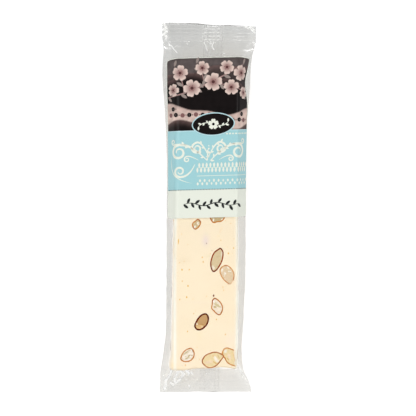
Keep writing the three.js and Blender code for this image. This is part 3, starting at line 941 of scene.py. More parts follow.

# %% [markdown]
# ## The film
# Clear film is a closed skin here, made from sections of the pack. Where it presses on the bar it can hardly
# be seen. Where it hangs free, two layers and the air between them look grey against a white table. So each
# point carries a number for haze, and another for painted glints: white painted on the film where its folds
# and creases catch the light. The creases are lines drawn on the pack, each with a width and a whiteness, and
# they lift the mesh too, so that they catch the light. Short ones stand in rows on the head seal over the
# folded seam, painted glints on its crinkles.

# %% Creases in the film
CREASES = [
    ([(-20.0, -95.2), (-21.6, -99.4), (-23.6, -101.6), (-23.2, -103.9), (-23.9, -106.6)], 0.52, 1.0),
    ([(-16.0, -94.3), (-16.4, -96.9), (-18.4, -100.6), (-17.7, -103.1), (-15.6, -101.2), (-12.9, -97.6),
               (-15.1, -95.2)], 0.52, 1.0),
    ([(-20.5, -102.8), (-19.2, -103.9)], 0.55, 0.9),
    ([(-13.6, -93.6), (-11.6, -94.8), (-9.9, -97.0)], 0.62, 1.0),
    ([(-8.5, -96.3), (-7.9, -97.3)], 0.37, 0.8),
    ([(-9.8, -104.2), (-9.2, -105.1)], 0.43, 0.6),
    ([(-12.7, -97.2), (-4.8, -103.9)], 0.6, 0.1),
    ([(-1.6, -98.2), (-7.0, -104.6)], 0.6, 0.06),
    ([(-24.8, -104.8), (-21.0, -105.9), (-12.6, -101.2)], 0.6, 0.1),
    ([(19.0, -91.6), (20.5, -95.4)], 0.28, 0.55),
    ([(20.6, -96.0), (24.6, -102.0)], 0.4, 0.3),
    ([(-2.9, 96.8), (-1.8, 94.6), (-1.2, 92.3)], 0.31, 0.6),
    ([(2.7, 96.7), (1.7, 94.6), (2.9, 92.6)], 0.31, 0.6),
    ([(-0.2, 96.6), (1.6, 96.2)], 0.31, 0.5),
    ([(-22.3, 95.0), (-20.9, 93.1), (-18.7, 90.5)], 0.31, 0.5),
    ([(-20.9, 93.3), (-19.0, 94.6), (-16.2, 94.3)], 0.32, 0.25),
    ([(-12.8, 96.1), (-12.4, 95.8)], 0.31, 0.7),
    ([(8.4, 90.5), (8.8, 90.2)], 0.28, 0.7),
    ([(-26.6, 107.6), (-25.4, 104.8)], 0.5, 0.8),
    ([(-27.0, 104.4), (-25.0, 103.0), (-26.3, 101.6)], 0.43, 0.85),
    ([(-27.2, 101.4), (-24.9, 100.2), (-25.2, 98.6)], 0.37, 0.8),
    ([(21.0, 106.4), (23.0, 105.4)], 0.31, 0.7),
    ([(23.6, 106.0), (26.8, 102.6)], 0.28, 0.8),
    ([(24.8, 106.0), (26.9, 104.6)], 0.25, 0.7),
    ([(25.6, 97.4), (26.8, 96.2)], 0.31, 0.7),
    ([(-3.6, 98.0), (-3.6, 107.0)], 0.28, 0.2),
    ([(-0.7, 104.6), (-0.7, 107.0)], 0.28, 0.2),
    ([(5.4, 98.5), (5.4, 107.0)], 0.35, 0.1),
    ([(13.0, 98.9), (14.8, 99.7), (16.6, 98.8)], 0.35, 0.12),
    ([(-0.2, -96.0), (1.2, -97.2)], 0.4, 0.2),
    ([(7.3, 98.5), (7.3, 107.0)], 0.28, 0.14),
]
# Painted glints in rows on the crinkles over the folded seam on the head seal.
WELD_COLUMNS, WELD_ROWS = (-2.0, 0.6, 2.8, 5.2), (98.6, 100.7, 102.8, 104.9)
WELD_REACH, WELD_WIDTH, WELD_GLINT = 0.6, 0.4, 0.28
for x in WELD_COLUMNS:
    CREASES += [([(x - WELD_REACH, y), (x + WELD_REACH, y)], WELD_WIDTH, WELD_GLINT) for y in WELD_ROWS]
CREASE_LIFT = 0.08


def distance_to_line(spots, line):
    """The distance of each (x, y) spot from a line through points."""
    nearest = np.full(len(spots), np.inf)
    for start, end in zip(np.array(line[:-1]), np.array(line[1:])):
        run = end - start
        t = np.clip((spots - start) @ run / (run @ run), 0, 1)
        nearest = np.minimum(nearest, np.linalg.norm(spots - start - t[:, None] * run, axis=1))
    return nearest


def creased(spots):
    """(height, whiteness) of the creases at each spot on the film's front."""
    height, white = np.zeros(len(spots)), np.zeros(len(spots))
    for line, width, whiteness in CREASES:
        fall = np.exp(-((distance_to_line(spots, line) / width) ** 2))
        height = np.maximum(height, fall**1.4 * CREASE_LIFT * (0.4 + 0.6 * whiteness))
        # Painted highlight: how white the glint of each crease is.
        white = np.maximum(white, np.minimum(1.5 * fall, 1) * whiteness)
    return height, white


# %% Where the film is clear and where it is hazy
HAZE = [(-108, 1.2), (-96, 1.08), (-85, 1.34), (60, 1.5), (86, 1.7), (95, 1.75), (99, 1.78), (103, 1.9),
        (108, 1.98)]
HAZE_OUT, HAZE_HEAD_GAP, HAZE_EDGE = 0.1, 1.5, 0.5
LEFT_SHADE, SHADE_RUN, SHADE_LEFT, SHADE_RIGHT = 0.06, 12, -1.5, 0.3


def haze(points):
    """0 where the film lies on the bar, and what HAZE says where it is free, a little more on the left."""
    x, y = points[:, 0], points[:, 1]
    left, right = -along(BAR_LEFT, y) - HAZE_OUT, along(BAR_RIGHT, y) + HAZE_OUT
    inside = np.minimum.reduce([x - left, right - x, y - BAR_ENDS[0], BAR_ENDS[1] + HAZE_HEAD_GAP - y])
    # Painted shade: the free film on the left gets a little more haze, so it reads greyer, against the
    # stronger lamp on that side.
    darker_left = 1 - LEFT_SHADE * np.clip(x / SHADE_RUN, SHADE_LEFT, SHADE_RIGHT)
    return along(HAZE, y) * darker_left * np.clip(0.5 - inside / HAZE_EDGE, 0, 1)


# %% The film's mesh
def spaced(*spans):
    """Places along a line from spans of (from, to, cells)."""
    return np.concatenate([np.linspace(a, b, n, endpoint=False) for a, b, n in spans] + [[spans[-1][1]]])


ROWS = spaced(
    (FOOT_SEAL["outer"], FOOT_SEAL["inner"], 32),
    (FOOT_SEAL["inner"], BAR_FOOT + END_EASE, 34),
    (BAR_FOOT + END_EASE, BAR_HEAD - END_EASE, 150),
    (BAR_HEAD - END_EASE, HEAD_SEAL["inner"], 36),
    (HEAD_SEAL["inner"], HEAD_SEAL["outer"], 40),
)
TOP_COLUMNS, UNDER_COLUMNS = 160, 76
FOOT_RIBS, FILM_REACH = 0.35, 27.55


def crimped(y):
    """How deep the ribs are at y: full at the head, faint at the foot, where the jaws were worn."""
    return (1.0 if y > 0 else FOOT_RIBS) * (seal_out(y) > 0)


film_points, is_top, sealed, rib_place = [], [], [], []
for y in ROWS:
    top, under = section(float(y))
    top, under = evenly(top, TOP_COLUMNS), evenly(under, UNDER_COLUMNS)
    for line, front in ((top, True), (under[::-1], False)):
        film_points += [(x, askew(x, y), z) for x, z in line]
        is_top += [front] * len(line)
        sealed += [crimped(y)] * len(line)
        rib_place += [y - HEAD_SEAL["inner"]] * len(line)
film_points, is_top = np.array(film_points), np.array(is_top)
per_row = TOP_COLUMNS + UNDER_COLUMNS
film_faces = tube_faces(len(ROWS), per_row)

# %% Creases, slack and gathers on it
lift, white = creased(film_points[:, :2])
lift, white = lift * is_top, white * is_top
free = haze(film_points)
slack = bumps(film_points, (0.10, 11, 6), (0.03, 4, 7)) * (0.35 + 0.65 * free)
gathers = bumps(film_points * [1, 0.16, 0.5], (0.13, 2.0, 8))
gathers += bumps(film_points * [1, 0.3, 0.5], (0.04, 0.9, 9))
GATHERS_ON_SEAL, GATHERS_AT_FOOT, SLACK_BELOW = 0.4, 0.5, 0.6
gathered = [(1 - fullness(y)) * (GATHERS_ON_SEAL if seal_out(y) > 0 else 1) for y in ROWS]
gathered = np.repeat(gathered * np.where(ROWS > 0, 1, GATHERS_AT_FOOT), per_row)
film_points[:, 2] += lift + (slack + gathers * gathered) * np.where(is_top, 1, SLACK_BELOW)
film_points[~is_top, 2] = np.maximum(film_points[~is_top, 2], UNDERSIDE)
film_points[:, 0] += bumps(film_points, (0.12, 6, 10)) * free
film_points[:, 0] = np.clip(film_points[:, 0], -FILM_REACH, FILM_REACH)

# %% [markdown]
# Film is a Principled shader with an Alpha below 1, so that what lies behind shows through, and a hard gloss.
# Its colour, its haze and its gloss come from the numbers on the mesh, and it grows a little less clear at a
# slant. Where the numbers mark glints and rib crests, it is painted white and less clear: painted highlights.

# %% The film's finish
FILM_CLEAR, FILM_HAZY, CREASE_ALPHA, RIB_ALPHA, SLANT_ALPHA = 0.012, 0.18, 0.95, 0.03, 0.5
CREASE_GLINT_GAIN, RIB_HIGHLIGHT, FILM_IOR, FILM_GLOSS = 3.0, 0.2, 1.7, 0.9
FILM_WARM, FILM_NEUTRAL, FILM_HIGHLIGHT = srgb(161, 154, 134), srgb(157, 158, 154), srgb(253, 253, 250)
FILM_ROUGHNESS, CREASE_ROUGHNESS = 0.1, 0.28
film_finish = bpy.data.materials.new("film")
film_finish.use_nodes = True
tree = film_finish.node_tree
hazy = add_node(tree, "ShaderNodeAttribute", attribute_name="haze"), "Fac"
crease = add_node(tree, "ShaderNodeAttribute", attribute_name="crease"), "Fac"
rib = add_node(tree, "ShaderNodeAttribute", attribute_name="rib"), "Fac"
slant = add_node(tree, "ShaderNodeLayerWeight", in_Blend=0.5)
grazing = maths(tree, "POWER", (slant, "Facing"), 4.0)
alpha = add_node(tree, "ShaderNodeMapRange", clamp=False, in_Value=hazy, in_3=FILM_CLEAR, in_4=FILM_HAZY)
alpha = maths(tree, "MULTIPLY_ADD", rib, RIB_ALPHA, alpha)
alpha = maths(tree, "MULTIPLY_ADD", grazing, SLANT_ALPHA, alpha)
alpha = maths(tree, "MULTIPLY_ADD", crease, CREASE_ALPHA, alpha, clamped=True)
# Painted highlight: crease glints and rib crests turn the film white.
whiteness = maths(tree, "MULTIPLY", crease, CREASE_GLINT_GAIN)
whiteness = maths(tree, "MULTIPLY_ADD", rib, RIB_HIGHLIGHT, whiteness, clamped=True)
head_tone = add_node(tree, "ShaderNodeMapRange", in_Value=hazy, in_1=1.2, in_2=1.9)
tone = add_node(tree, "ShaderNodeMix", data_type="RGBA", in_Factor=head_tone, in_A=(*FILM_WARM, 1),
                in_B=(*FILM_NEUTRAL, 1))
colour = add_node(tree, "ShaderNodeMix", data_type="RGBA", in_Factor=whiteness, in_A=(tone, "Result"),
                  in_B=(*FILM_HIGHLIGHT, 1))
rough = add_node(tree, "ShaderNodeMapRange", in_Value=crease, in_3=FILM_ROUGHNESS, in_4=CREASE_ROUGHNESS)
feed(tree.nodes["Principled BSDF"], in_Base_Color=(colour, "Result"), in_Roughness=rough, in_Alpha=alpha,
     in_IOR=FILM_IOR, in_Specular_IOR_Level=FILM_GLOSS)

film = make_piece("film", film_points, film_faces, [film_finish], values={
    "haze": free, "crease": white, "sealed": sealed, "rib_place": rib_place,
})

# %% [markdown]
# ## Crimp ribs, by Geometry Nodes
# Heated jaws with teeth press each seal, which leaves ribs across it. They follow a rule, so a tree makes
# them: it lifts each sealed point by a sine of its place along the pack, and keeps how near it is to a crest,
# where the film's finish paints a highlight for the light on the crests. Pitch and height are its inputs, and
# the same tree then crimps the seam on the back.

# %% The tree that crimps
CRIMP, given, result = geometry_tree("Crimp ribs", {
    "Pitch": (NUMBER, 2.1), "Height": (NUMBER, 0.2 * MM), "Material": (FINISH, film_finish),
})
turns = maths(CRIMP, "DIVIDE", named_number(CRIMP, "rib_place"), (given, "Pitch"))
wave = maths(CRIMP, "SINE", maths(CRIMP, "MULTIPLY", turns, 2 * math.pi))
ribs = maths(CRIMP, "MULTIPLY", wave, named_number(CRIMP, "sealed"))
upwards = add_node(CRIMP, "ShaderNodeCombineXYZ", in_Z=maths(CRIMP, "MULTIPLY", ribs, (given, "Height")))
crimp = add_node(CRIMP, "GeometryNodeSetPosition", in_Geometry=(given, "Geometry"), in_Offset=upwards)
# The share of each crest is kept for the painted highlight on the ribs.
end_tree(CRIMP, keep_number(CRIMP, crimp, "rib", maths(CRIMP, "MAXIMUM", ribs, 0.0)), given, result)
RIB_PITCH, RIB_HEIGHT = 2.1, 0.085
run_tree(film, CRIMP, pitch=RIB_PITCH, height=RIB_HEIGHT * MM, material=film_finish)
print("The film has", len(film.data.polygons), "faces")

# %% [markdown]
# ## The seam on the back
# The tube of film is closed by a fin seal: both edges welded face to face, then folded flat to one side. It
# is a thin strip of its own along the whole back. It shows through the clear seals as a few lines, where it
# is folded: steps in its thickness, with faint painted glints along them.

# %% The seam
SEAM_LEFT, SEAM_RIGHT, SEAM_THICKNESS, SEAM_GAP = -3.6, 8.4, 0.12, 0.04
SEAM_STEPS = [(-0.7, 0.02), (5.4, 0.02), (7.3, 0.02)]
SEAM_COLUMNS = 25
SEAM_LINE, SEAM_EDGE = 0.3, 0.35
SEAM_GLINT_HEAD, SEAM_GLINT, SEAM_HAZE, SEAM_CLEARER = 0.1, 0.04, 0.18, 0.06


def seam():
    """Points and faces of the strip, and the numbers that its finish and its ribs read."""
    across = np.linspace(SEAM_LEFT, SEAM_RIGHT, SEAM_COLUMNS)
    steps = sum(size * (across > x) for x, size in SEAM_STEPS)
    lines = sum(np.exp(-(((across - x) / SEAM_LINE) ** 2)) for x, _ in SEAM_STEPS)
    lines = np.clip(lines + np.exp(-(((across - SEAM_LEFT) / SEAM_EDGE) ** 2)), 0, 1)
    points, pressed, places, seam_glints, hazes = [], [], [], [], []
    for y in ROWS[::2]:
        under = section(float(y))[1]
        above = np.interp(across, under[:, 0], under[:, 1]) - SEAM_GAP
        below = np.maximum(above - SEAM_THICKNESS - steps * 0.5, 0.01)
        for heights, order in ((above, 1), (below, -1)):
            points += [(x, askew(x, y), z) for x, z in zip(across[::order], heights[::order])]
            # Painted glints along the seam's folds.
            seam_glints += list(lines[::order] * (SEAM_GLINT_HEAD if seal_out(y) > 0 and y > 0 else SEAM_GLINT))
            hazes += [SEAM_HAZE * float(fullness(y)) - SEAM_CLEARER] * SEAM_COLUMNS
            pressed += [crimped(y)] * SEAM_COLUMNS
            places += [y - HEAD_SEAL["inner"]] * SEAM_COLUMNS
    faces = tube_faces(len(ROWS[::2]), 2 * SEAM_COLUMNS)
    return points, faces, {"haze": hazes, "crease": seam_glints, "sealed": pressed, "rib_place": places}


seam_points, seam_faces, seam_values = seam()
back_seam = make_piece("back_seam", seam_points, seam_faces, [film_finish], values=seam_values)
back_seam.visible_shadow = False
back_seam.data.polygons.foreach_set("use_smooth", [False] * len(back_seam.data.polygons))
run_tree(back_seam, CRIMP, pitch=RIB_PITCH, height=RIB_HEIGHT * MM, material=film_finish)
print("The seam has", len(back_seam.data.polygons), "faces")

# %% [markdown]
# ## The label
# The label is a paper sticker on the outside of the film. It was flat when it was printed, so everything on
# it is drawn flat first, with u across the label and v along it. One function then lays any flat point on the
# film: it walks the distance u over the film's section, and stands off it by the layer's lift. The film's
# sections are kept in a table, so that thousands of points can be laid at once.

# %% The film's front as a table
TABLE_STEP, TABLE_REACH, TABLE_PITCH = 0.25, 31.0, 0.5
TABLE_PLACES = np.arange(-10.0, 93.01, TABLE_PITCH)
TABLE_ACROSS = np.arange(-TABLE_REACH, TABLE_REACH + TABLE_STEP / 2, TABLE_STEP)


def over_the_film(y):
    """(x, z) on the film's front at y, at each distance over it from X = 0, and on past its ridges."""
    line = section(float(y))[0]
    run = walked(line)
    run -= np.interp(0, line[:, 0], run)
    result = np.column_stack([np.interp(TABLE_ACROSS, run, line[:, k]) for k in (0, 1)])
    for end, inner, outside in ((0, 1, TABLE_ACROSS < run[0]), (-1, -2, TABLE_ACROSS > run[-1])):
        way = (line[end] - line[inner]) / (run[end] - run[inner])
        result[outside] = line[end] + (TABLE_ACROSS[outside] - run[end])[:, None] * way
    return result


FILM_TABLE = np.array([over_the_film(y) for y in TABLE_PLACES])


def table_lookup(s, y):
    """(x, z) on the film at distances s over it and places y, between the table's entries."""
    i = np.clip((y - TABLE_PLACES[0]) / TABLE_PITCH, 0, len(TABLE_PLACES) - 1.001)
    j = np.clip((s + TABLE_REACH) / TABLE_STEP, 0, len(TABLE_ACROSS) - 1.001)
    i0, j0 = i.astype(int), j.astype(int)
    ti, tj = (i - i0)[:, None], (j - j0)[:, None]
    near = FILM_TABLE[i0, j0] * (1 - tj) + FILM_TABLE[i0, j0 + 1] * tj
    far = FILM_TABLE[i0 + 1, j0] * (1 - tj) + FILM_TABLE[i0 + 1, j0 + 1] * tj
    return near * (1 - ti) + far * ti


# %% Lay flat points on the film
LABEL = dict(width=52.2, height=93.8, corner=2.0, along=41.1, tilt=math.radians(2.1), lean=math.radians(0.3))
TUCK = {"from": 17.0, "run": 9.0, "depth": 3.0, "at": 31.0, "reach": 8.5}
SAG = {"from": 16.0, "run": 9.5, "depth": 1.3, "above": 34.0, "rise": 12.0}
PAPER_LIFT, PAPER_THICKNESS, INK_THICKNESS = 0.3, 0.12, 0.02
SLOPE_STEP = 0.3


def lay(flat, lifts):
    """Points on the film from flat (u, v) points of the label and their lifts off the film."""
    flat, lifts = np.asarray(flat, dtype=float), np.asarray(lifts, dtype=float)
    s = flat[:, 0] * math.cos(LABEL["tilt"]) - flat[:, 1] * math.sin(LABEL["lean"])
    tucked = TUCK["depth"] * np.exp(-(((flat[:, 1] - TUCK["at"]) / TUCK["reach"]) ** 2))
    s = s - tucked * np.clip((flat[:, 0] - TUCK["from"]) / TUCK["run"], 0, 1) ** 2
    y = LABEL["along"] + flat[:, 0] * math.sin(LABEL["tilt"]) + flat[:, 1] * math.cos(LABEL["lean"])
    pulled = np.clip((np.abs(flat[:, 0]) - SAG["from"]) / SAG["run"], 0, 1) ** 2
    y = y - SAG["depth"] * pulled * np.clip((flat[:, 1] - SAG["above"]) / SAG["rise"], 0, 1)
    spot = table_lookup(s, y)
    run = table_lookup(s + SLOPE_STEP, y) - table_lookup(s - SLOPE_STEP, y)
    run /= np.linalg.norm(run, axis=1, keepdims=True)
    return np.column_stack([spot[:, 0] - run[:, 1] * lifts, y, spot[:, 1] + run[:, 0] * lifts])


# %% [markdown]
# The sheet is a fine grid with rounded corners. Its rows stand exactly where the print changes, so each field
# of colour is a set of whole faces with its own material, and the edges between them stay crisp. The field at
# the top is printed with soft dark hills under a blossoming branch.

# %% The fields of the print
HALF_WIDTH, HALF_HEIGHT = LABEL["width"] / 2, LABEL["height"] / 2
MARGIN = 0.4
PICTURE_FROM, RULE_WIDTH, STRIP_TO = 4.0, 0.5, -30.4
CELL = 0.45


def cells(start, end, size=CELL):
    """Places from start up to end, about size apart."""
    return np.linspace(start, end, max(1, round((end - start) / size)), endpoint=False)


CORNER, CORNER_ROWS = LABEL["corner"], 9
straight = HALF_HEIGHT - CORNER
turned = np.linspace(0, np.pi / 2, CORNER_ROWS)[:-1]
corner_rows = [(-straight - CORNER * math.cos(t), HALF_WIDTH - CORNER * (1 - math.sin(t))) for t in turned]
levels = [-straight, STRIP_TO, PICTURE_FROM - RULE_WIDTH / 2, PICTURE_FROM + RULE_WIDTH / 2, straight]
label_rows = list(corner_rows)
for low, high in zip(levels[:-1], levels[1:]):
    label_rows += [(v, HALF_WIDTH) for v in cells(low, high)]
label_rows += [(straight, HALF_WIDTH)] + [(-v, half) for v, half in reversed(corner_rows)]
label_columns = np.concatenate([
    [-HALF_WIDTH], cells(-HALF_WIDTH + MARGIN, HALF_WIDTH - MARGIN), [HALF_WIDTH - MARGIN, HALF_WIDTH],
]) / HALF_WIDTH

INK_BLACK, INK_TAUPE, INK_GREY = srgb(20, 15, 15), srgb(62, 53, 52), srgb(88, 79, 78)
INK_PINK, INK_ROSE, INK_CREAM = srgb(208, 184, 174), srgb(160, 128, 124), srgb(233, 237, 224)
INK_BLUE, INK_PALE_BLUE, PAPER_WHITE = srgb(160, 208, 214), srgb(188, 222, 228), srgb(231, 235, 223)

# %% Dark hills in the top field
HILLS = [
    (39.5, 2.6, 11, 0.4, INK_TAUPE), (33.0, 4.0, 13, 2.2, INK_BLACK), (16.6, 3.0, 12, 3.9, INK_PINK),
    (7.6, 2.4, 9, 3.2, INK_BLACK),
]
DOTTED_HILL = 2
SMALL_SWING, SMALL_LENGTH = 0.8, 3.7
HILL_EDGE, GLOW_DEPTH, GLOW_SHARE = 0.7, 2.4, 0.25


def crest(hill, u):
    """The height of a hill's upper edge at u."""
    level, swing, length, phase, _ = hill
    return level + swing * np.sin(u / length + phase) + SMALL_SWING * np.sin(u / SMALL_LENGTH + phase * 2)


def picture_tints(flat):
    """Soft dark hills for the printed field at the top."""
    u, v = flat[:, 0], flat[:, 1]
    tint = plain(INK_GREY, len(flat))
    for hill in HILLS:
        depth = crest(hill, u) - v
        tint = blend(tint, hill[-1], depth / HILL_EDGE + 0.5)
        tint = blend(tint, INK_ROSE, np.exp(-((depth / GLOW_DEPTH) ** 2)) * (depth > 0) * GLOW_SHARE)
    return tint * (1 + bumps(flat, (0.3, 2.5, 12), (0.12, 0.8, 14)))[:, None]


# %% The label's finishes
def label_finish(name, colour, scale, amount, roughness, specular):
    """Printed paper: a fine grain of this scale and amount under an even gloss."""
    return grained(name, colour, (scale, 1.0, amount), bump=0.006, roughness=roughness, specular=specular)


def ripple(flat):
    """How the paper and its inks rise and fall at flat (u, v) points."""
    return bumps(flat, (0.03, 9, 13))


LABEL_FINISHES = [
    label_finish("label_white", PAPER_WHITE, 1800, 0.015, 0.42, 0.3),
    label_finish("label_blue", INK_BLUE, 1300, 0.05, 0.4, 0.25),
    label_finish("label_pale_blue", INK_PALE_BLUE, 1800, 0.015, 0.4, 0.3),
    label_finish("label_picture", None, 1800, 0.05, 0.4, 0.12),
]

# %% The sheet of paper
flat = np.array([(u * half, v) for v, half in label_rows for u in label_columns])
top_side = lay(flat, PAPER_LIFT + PAPER_THICKNESS + ripple(flat))
under_side = lay(flat, PAPER_LIFT + ripple(flat))
rows, columns, total = len(label_rows), len(label_columns), len(flat)
faces = ring_faces(rows, columns, closed=False)
WHITE_FIELD, BLUE_FIELD, RULE_FIELD, PICTURE_FIELD = range(4)
field = []
for r in range(rows - 1):
    v = (label_rows[r][0] + label_rows[r + 1][0]) / 2
    for c in range(columns - 1):
        margin = c in (0, columns - 2) or v > HALF_HEIGHT - MARGIN
        if v < STRIP_TO or (margin and v > PICTURE_FROM):
            field.append(WHITE_FIELD)
        elif v < levels[2]:
            field.append(BLUE_FIELD)
        else:
            field.append(RULE_FIELD if v < levels[3] else PICTURE_FIELD)
faces += [tuple(i + total for i in f) for f in faces]
field += [WHITE_FIELD] * len(field)
border = list(range(columns))
border += [r * columns + columns - 1 for r in range(1, rows)]
border += [(rows - 1) * columns + c for c in range(columns - 2, -1, -1)]
border += [r * columns for r in range(rows - 2, 0, -1)]
for a, b in zip(border, border[1:] + border[:1]):
    faces.append((a, b, b + total, a + total))
    field.append(WHITE_FIELD)
label = make_piece(
    "label_paper", np.vstack([top_side, under_side]), faces, LABEL_FINISHES,
    tints=picture_tints(np.vstack([flat, flat])), face_materials=field,
)
print("The label's sheet has", len(faces), "faces")

# %% [markdown]
# ## Printed shapes
# The ornaments are inks on the paper: strokes that follow a curve, leaves, petals and dots. Each is drawn
# flat as a thin shape, then laid on the film a hair above the paper. Strokes are ribbons whose width swells
# and tapers, as a pen's does.

# %% Print a flat mesh on the label
INK_EDGE, INK_ROUNDS, INK_LIFT, LAYER_STEP = 1.1, 4, 0.035, 0.03
ink = grained("label_ink", None, grain=(2200, 1.0, 0.03), bump=0.004, roughness=0.4, specular=0.15)
printed = []


def print_on_label(piece, layer, tint):
    """Makes a flat mesh fine enough to bend, gives it the ink's thickness, and lays it over the paper.

    tint is one colour, or a function that gives the colours of flat points.
    """
    bm = bmesh.new()
    bm.from_mesh(piece.data)
    bmesh.ops.triangulate(bm, faces=bm.faces)
    for _ in range(INK_ROUNDS):
        long_edges = [e for e in bm.edges if e.calc_length() > INK_EDGE * MM]
        if not long_edges:
            break
        bmesh.ops.subdivide_edges(bm, edges=long_edges, cuts=1)
        bmesh.ops.triangulate(bm, faces=bm.faces)
    top = bmesh.ops.extrude_face_region(bm, geom=bm.faces[:], use_keep_orig=True)["geom"]
    raised = {v for v in top if isinstance(v, bmesh.types.BMVert)}
    base = PAPER_LIFT + PAPER_THICKNESS + INK_LIFT + layer * LAYER_STEP
    flat = np.array([(v.co.x / MM, v.co.y / MM) for v in bm.verts])
    lifts = base + ripple(flat) + np.array([INK_THICKNESS if v in raised else 0.0 for v in bm.verts])
    for v, p in zip(bm.verts, lay(flat, lifts)):
        v.co = Vector(p) * MM
    bmesh.ops.recalc_face_normals(bm, faces=bm.faces)
    bm.to_mesh(piece.data)
    bm.free()
    mesh = piece.data
    mesh.materials.clear()
    mesh.materials.append(ink)
    mesh.polygons.foreach_set("use_smooth", [False] * len(mesh.polygons))
    for old in list(mesh.color_attributes):
        mesh.color_attributes.remove(old)
    paint(mesh, tint(flat) if callable(tint) else plain(tint, len(flat)))
    printed.append(piece)


def flat_piece(name, points, faces=(), edges=()):
    """A flat mesh object on the label's own plane, in metres."""
    mesh = bpy.data.meshes.new(name)
    mesh.from_pydata([(u * MM, v * MM, 0) for u, v in points], edges, faces)
    return add_object(name, mesh)


# %% Strokes as ribbons
SWELL_POWER, STROKE_TIP = 2.2, 0.06


def ribbons(name, strokes):
    """A flat mesh of strokes (line, width at its middle, taper), with taper from 0, even, to 1, pointed."""
    points, faces = [], []
    for line, width, taper in strokes:
        line = np.asarray(line, dtype=float)
        run = np.gradient(line, axis=0)
        run /= np.linalg.norm(run, axis=1, keepdims=True)
        swell = 1 - taper * np.abs(np.linspace(-1, 1, len(line))) ** SWELL_POWER
        side = np.column_stack([-run[:, 1], run[:, 0]]) * (width / 2 * np.maximum(swell, STROKE_TIP))[:, None]
        start = len(points)
        points += [tuple(p) for pair in zip(line + side, line - side) for p in pair]
        faces += [(i, i + 1, i + 3, i + 2) for i in range(start, start + 2 * len(line) - 2, 2)]
    return flat_piece(name, points, faces)


# %% [markdown]
# ## Leaves and dots along a line, by Geometry Nodes
# A row of dots, a leafy twig and a garland are the same idea: copies of a small shape, evenly spaced along a
# line. One tree does all of them. It turns a line of edges into a curve, spaces points along it, and puts a
# petal shape on each, turned away from the line to one side and the other by turns. With a turn of 0 and a
# round shape, it is the dotted line.

# %% Spots along a line
SPRIG, given, result = geometry_tree("Sprig", {
    "Spacing": (NUMBER, 2 * MM), "Length": (NUMBER, 2 * MM), "Slimness": (NUMBER, 0.4), "Turn": (NUMBER, 0.9),
    "Vary": (NUMBER, 0.2), "Seed": (WHOLE, 1), "Material": (FINISH, ink),
})
slimness, turn = (given, "Slimness"), (given, "Turn")
curve = add_node(SPRIG, "GeometryNodeMeshToCurve", in_0=(given, "Geometry"))
spaced = add_node(SPRIG, "GeometryNodeResampleCurve", mode="LENGTH", in_0=curve, in_Length=(given, "Spacing"))
keep_way = add_node(SPRIG, "GeometryNodeCaptureAttribute", domain="POINT", in_0=spaced)
keep_way.capture_items.new("VECTOR", "Way")
feed(keep_way, in_1=add_node(SPRIG, "GeometryNodeInputTangent"))
spots_on_line = add_node(SPRIG, "GeometryNodeCurveToPoints", mode="EVALUATED", in_0=keep_way)

# %% [markdown]
# The leaf is a disc of 20 corners. Each corner's distance from the long axis is cut down, by more at the tips
# when the slimness is low. Then the leaf is moved to stand on the line by its tip, unless it is a dot, with a
# turn of 0.

# %% The shape of a leaf
LEAF_CORNERS, LEAF_RADIUS, NO_TURN = 20, 0.5, 0.001
disc = add_node(SPRIG, "GeometryNodeMeshCircle", fill_type="NGON", in_Vertices=LEAF_CORNERS,
                in_Radius=LEAF_RADIUS)
corner = add_node(SPRIG, "ShaderNodeSeparateXYZ", in_0=add_node(SPRIG, "GeometryNodeInputPosition"))
aside = (corner, "Y")
share = maths(SPRIG, "MULTIPLY", maths(SPRIG, "ABSOLUTE", aside), 2.0)
pointed = maths(SPRIG, "POWER", share, maths(SPRIG, "SUBTRACT", 1.0, slimness))
slim = maths(SPRIG, "MULTIPLY", maths(SPRIG, "MULTIPLY", aside, pointed), slimness)
leaf_corner = add_node(SPRIG, "ShaderNodeCombineXYZ", in_X=(corner, "X"), in_Y=slim)
leaf = add_node(SPRIG, "GeometryNodeSetPosition", in_0=disc, in_Position=leaf_corner)
is_dot = maths(SPRIG, "COMPARE", turn, 0.0, NO_TURN)
shift = maths(SPRIG, "MULTIPLY", maths(SPRIG, "SUBTRACT", 1.0, is_dot), LEAF_RADIUS)
leaf_on_line = add_node(SPRIG, "GeometryNodeTransform", in_0=leaf,
                        in_Translation=add_node(SPRIG, "ShaderNodeCombineXYZ", in_X=shift))

# %% One leaf on each spot, to one side and the other by turns
parity = maths(SPRIG, "MODULO", add_node(SPRIG, "GeometryNodeInputIndex"), 2.0)
side_of_line = maths(SPRIG, "MULTIPLY_ADD", parity, 2.0, -1.0)
swing = add_node(SPRIG, "ShaderNodeCombineXYZ", in_Z=maths(SPRIG, "MULTIPLY", side_of_line, turn))
as_turn = add_node(SPRIG, "FunctionNodeEulerToRotation", in_0=swing)
heading = add_node(SPRIG, "FunctionNodeAlignRotationToVector", axis="X", in_Vector=(keep_way, 1))
leaf_turn = add_node(SPRIG, "FunctionNodeRotateRotation", rotation_space="LOCAL", in_0=heading, in_1=as_turn)
shortest = maths(SPRIG, "SUBTRACT", 1.0, (given, "Vary"))
chance = add_node(SPRIG, "FunctionNodeRandomValue", data_type="FLOAT", in_2=shortest, in_3=1.0,
                  in_Seed=(given, "Seed"))
leaf_length = maths(SPRIG, "MULTIPLY", (chance, 1), (given, "Length"))
leaves = add_node(SPRIG, "GeometryNodeInstanceOnPoints", in_Points=spots_on_line, in_Instance=leaf_on_line,
                  in_Rotation=leaf_turn, in_Scale=leaf_length)
end_tree(SPRIG, leaves, given, result)
print("The tree for sprigs has", len(SPRIG.nodes), "nodes")

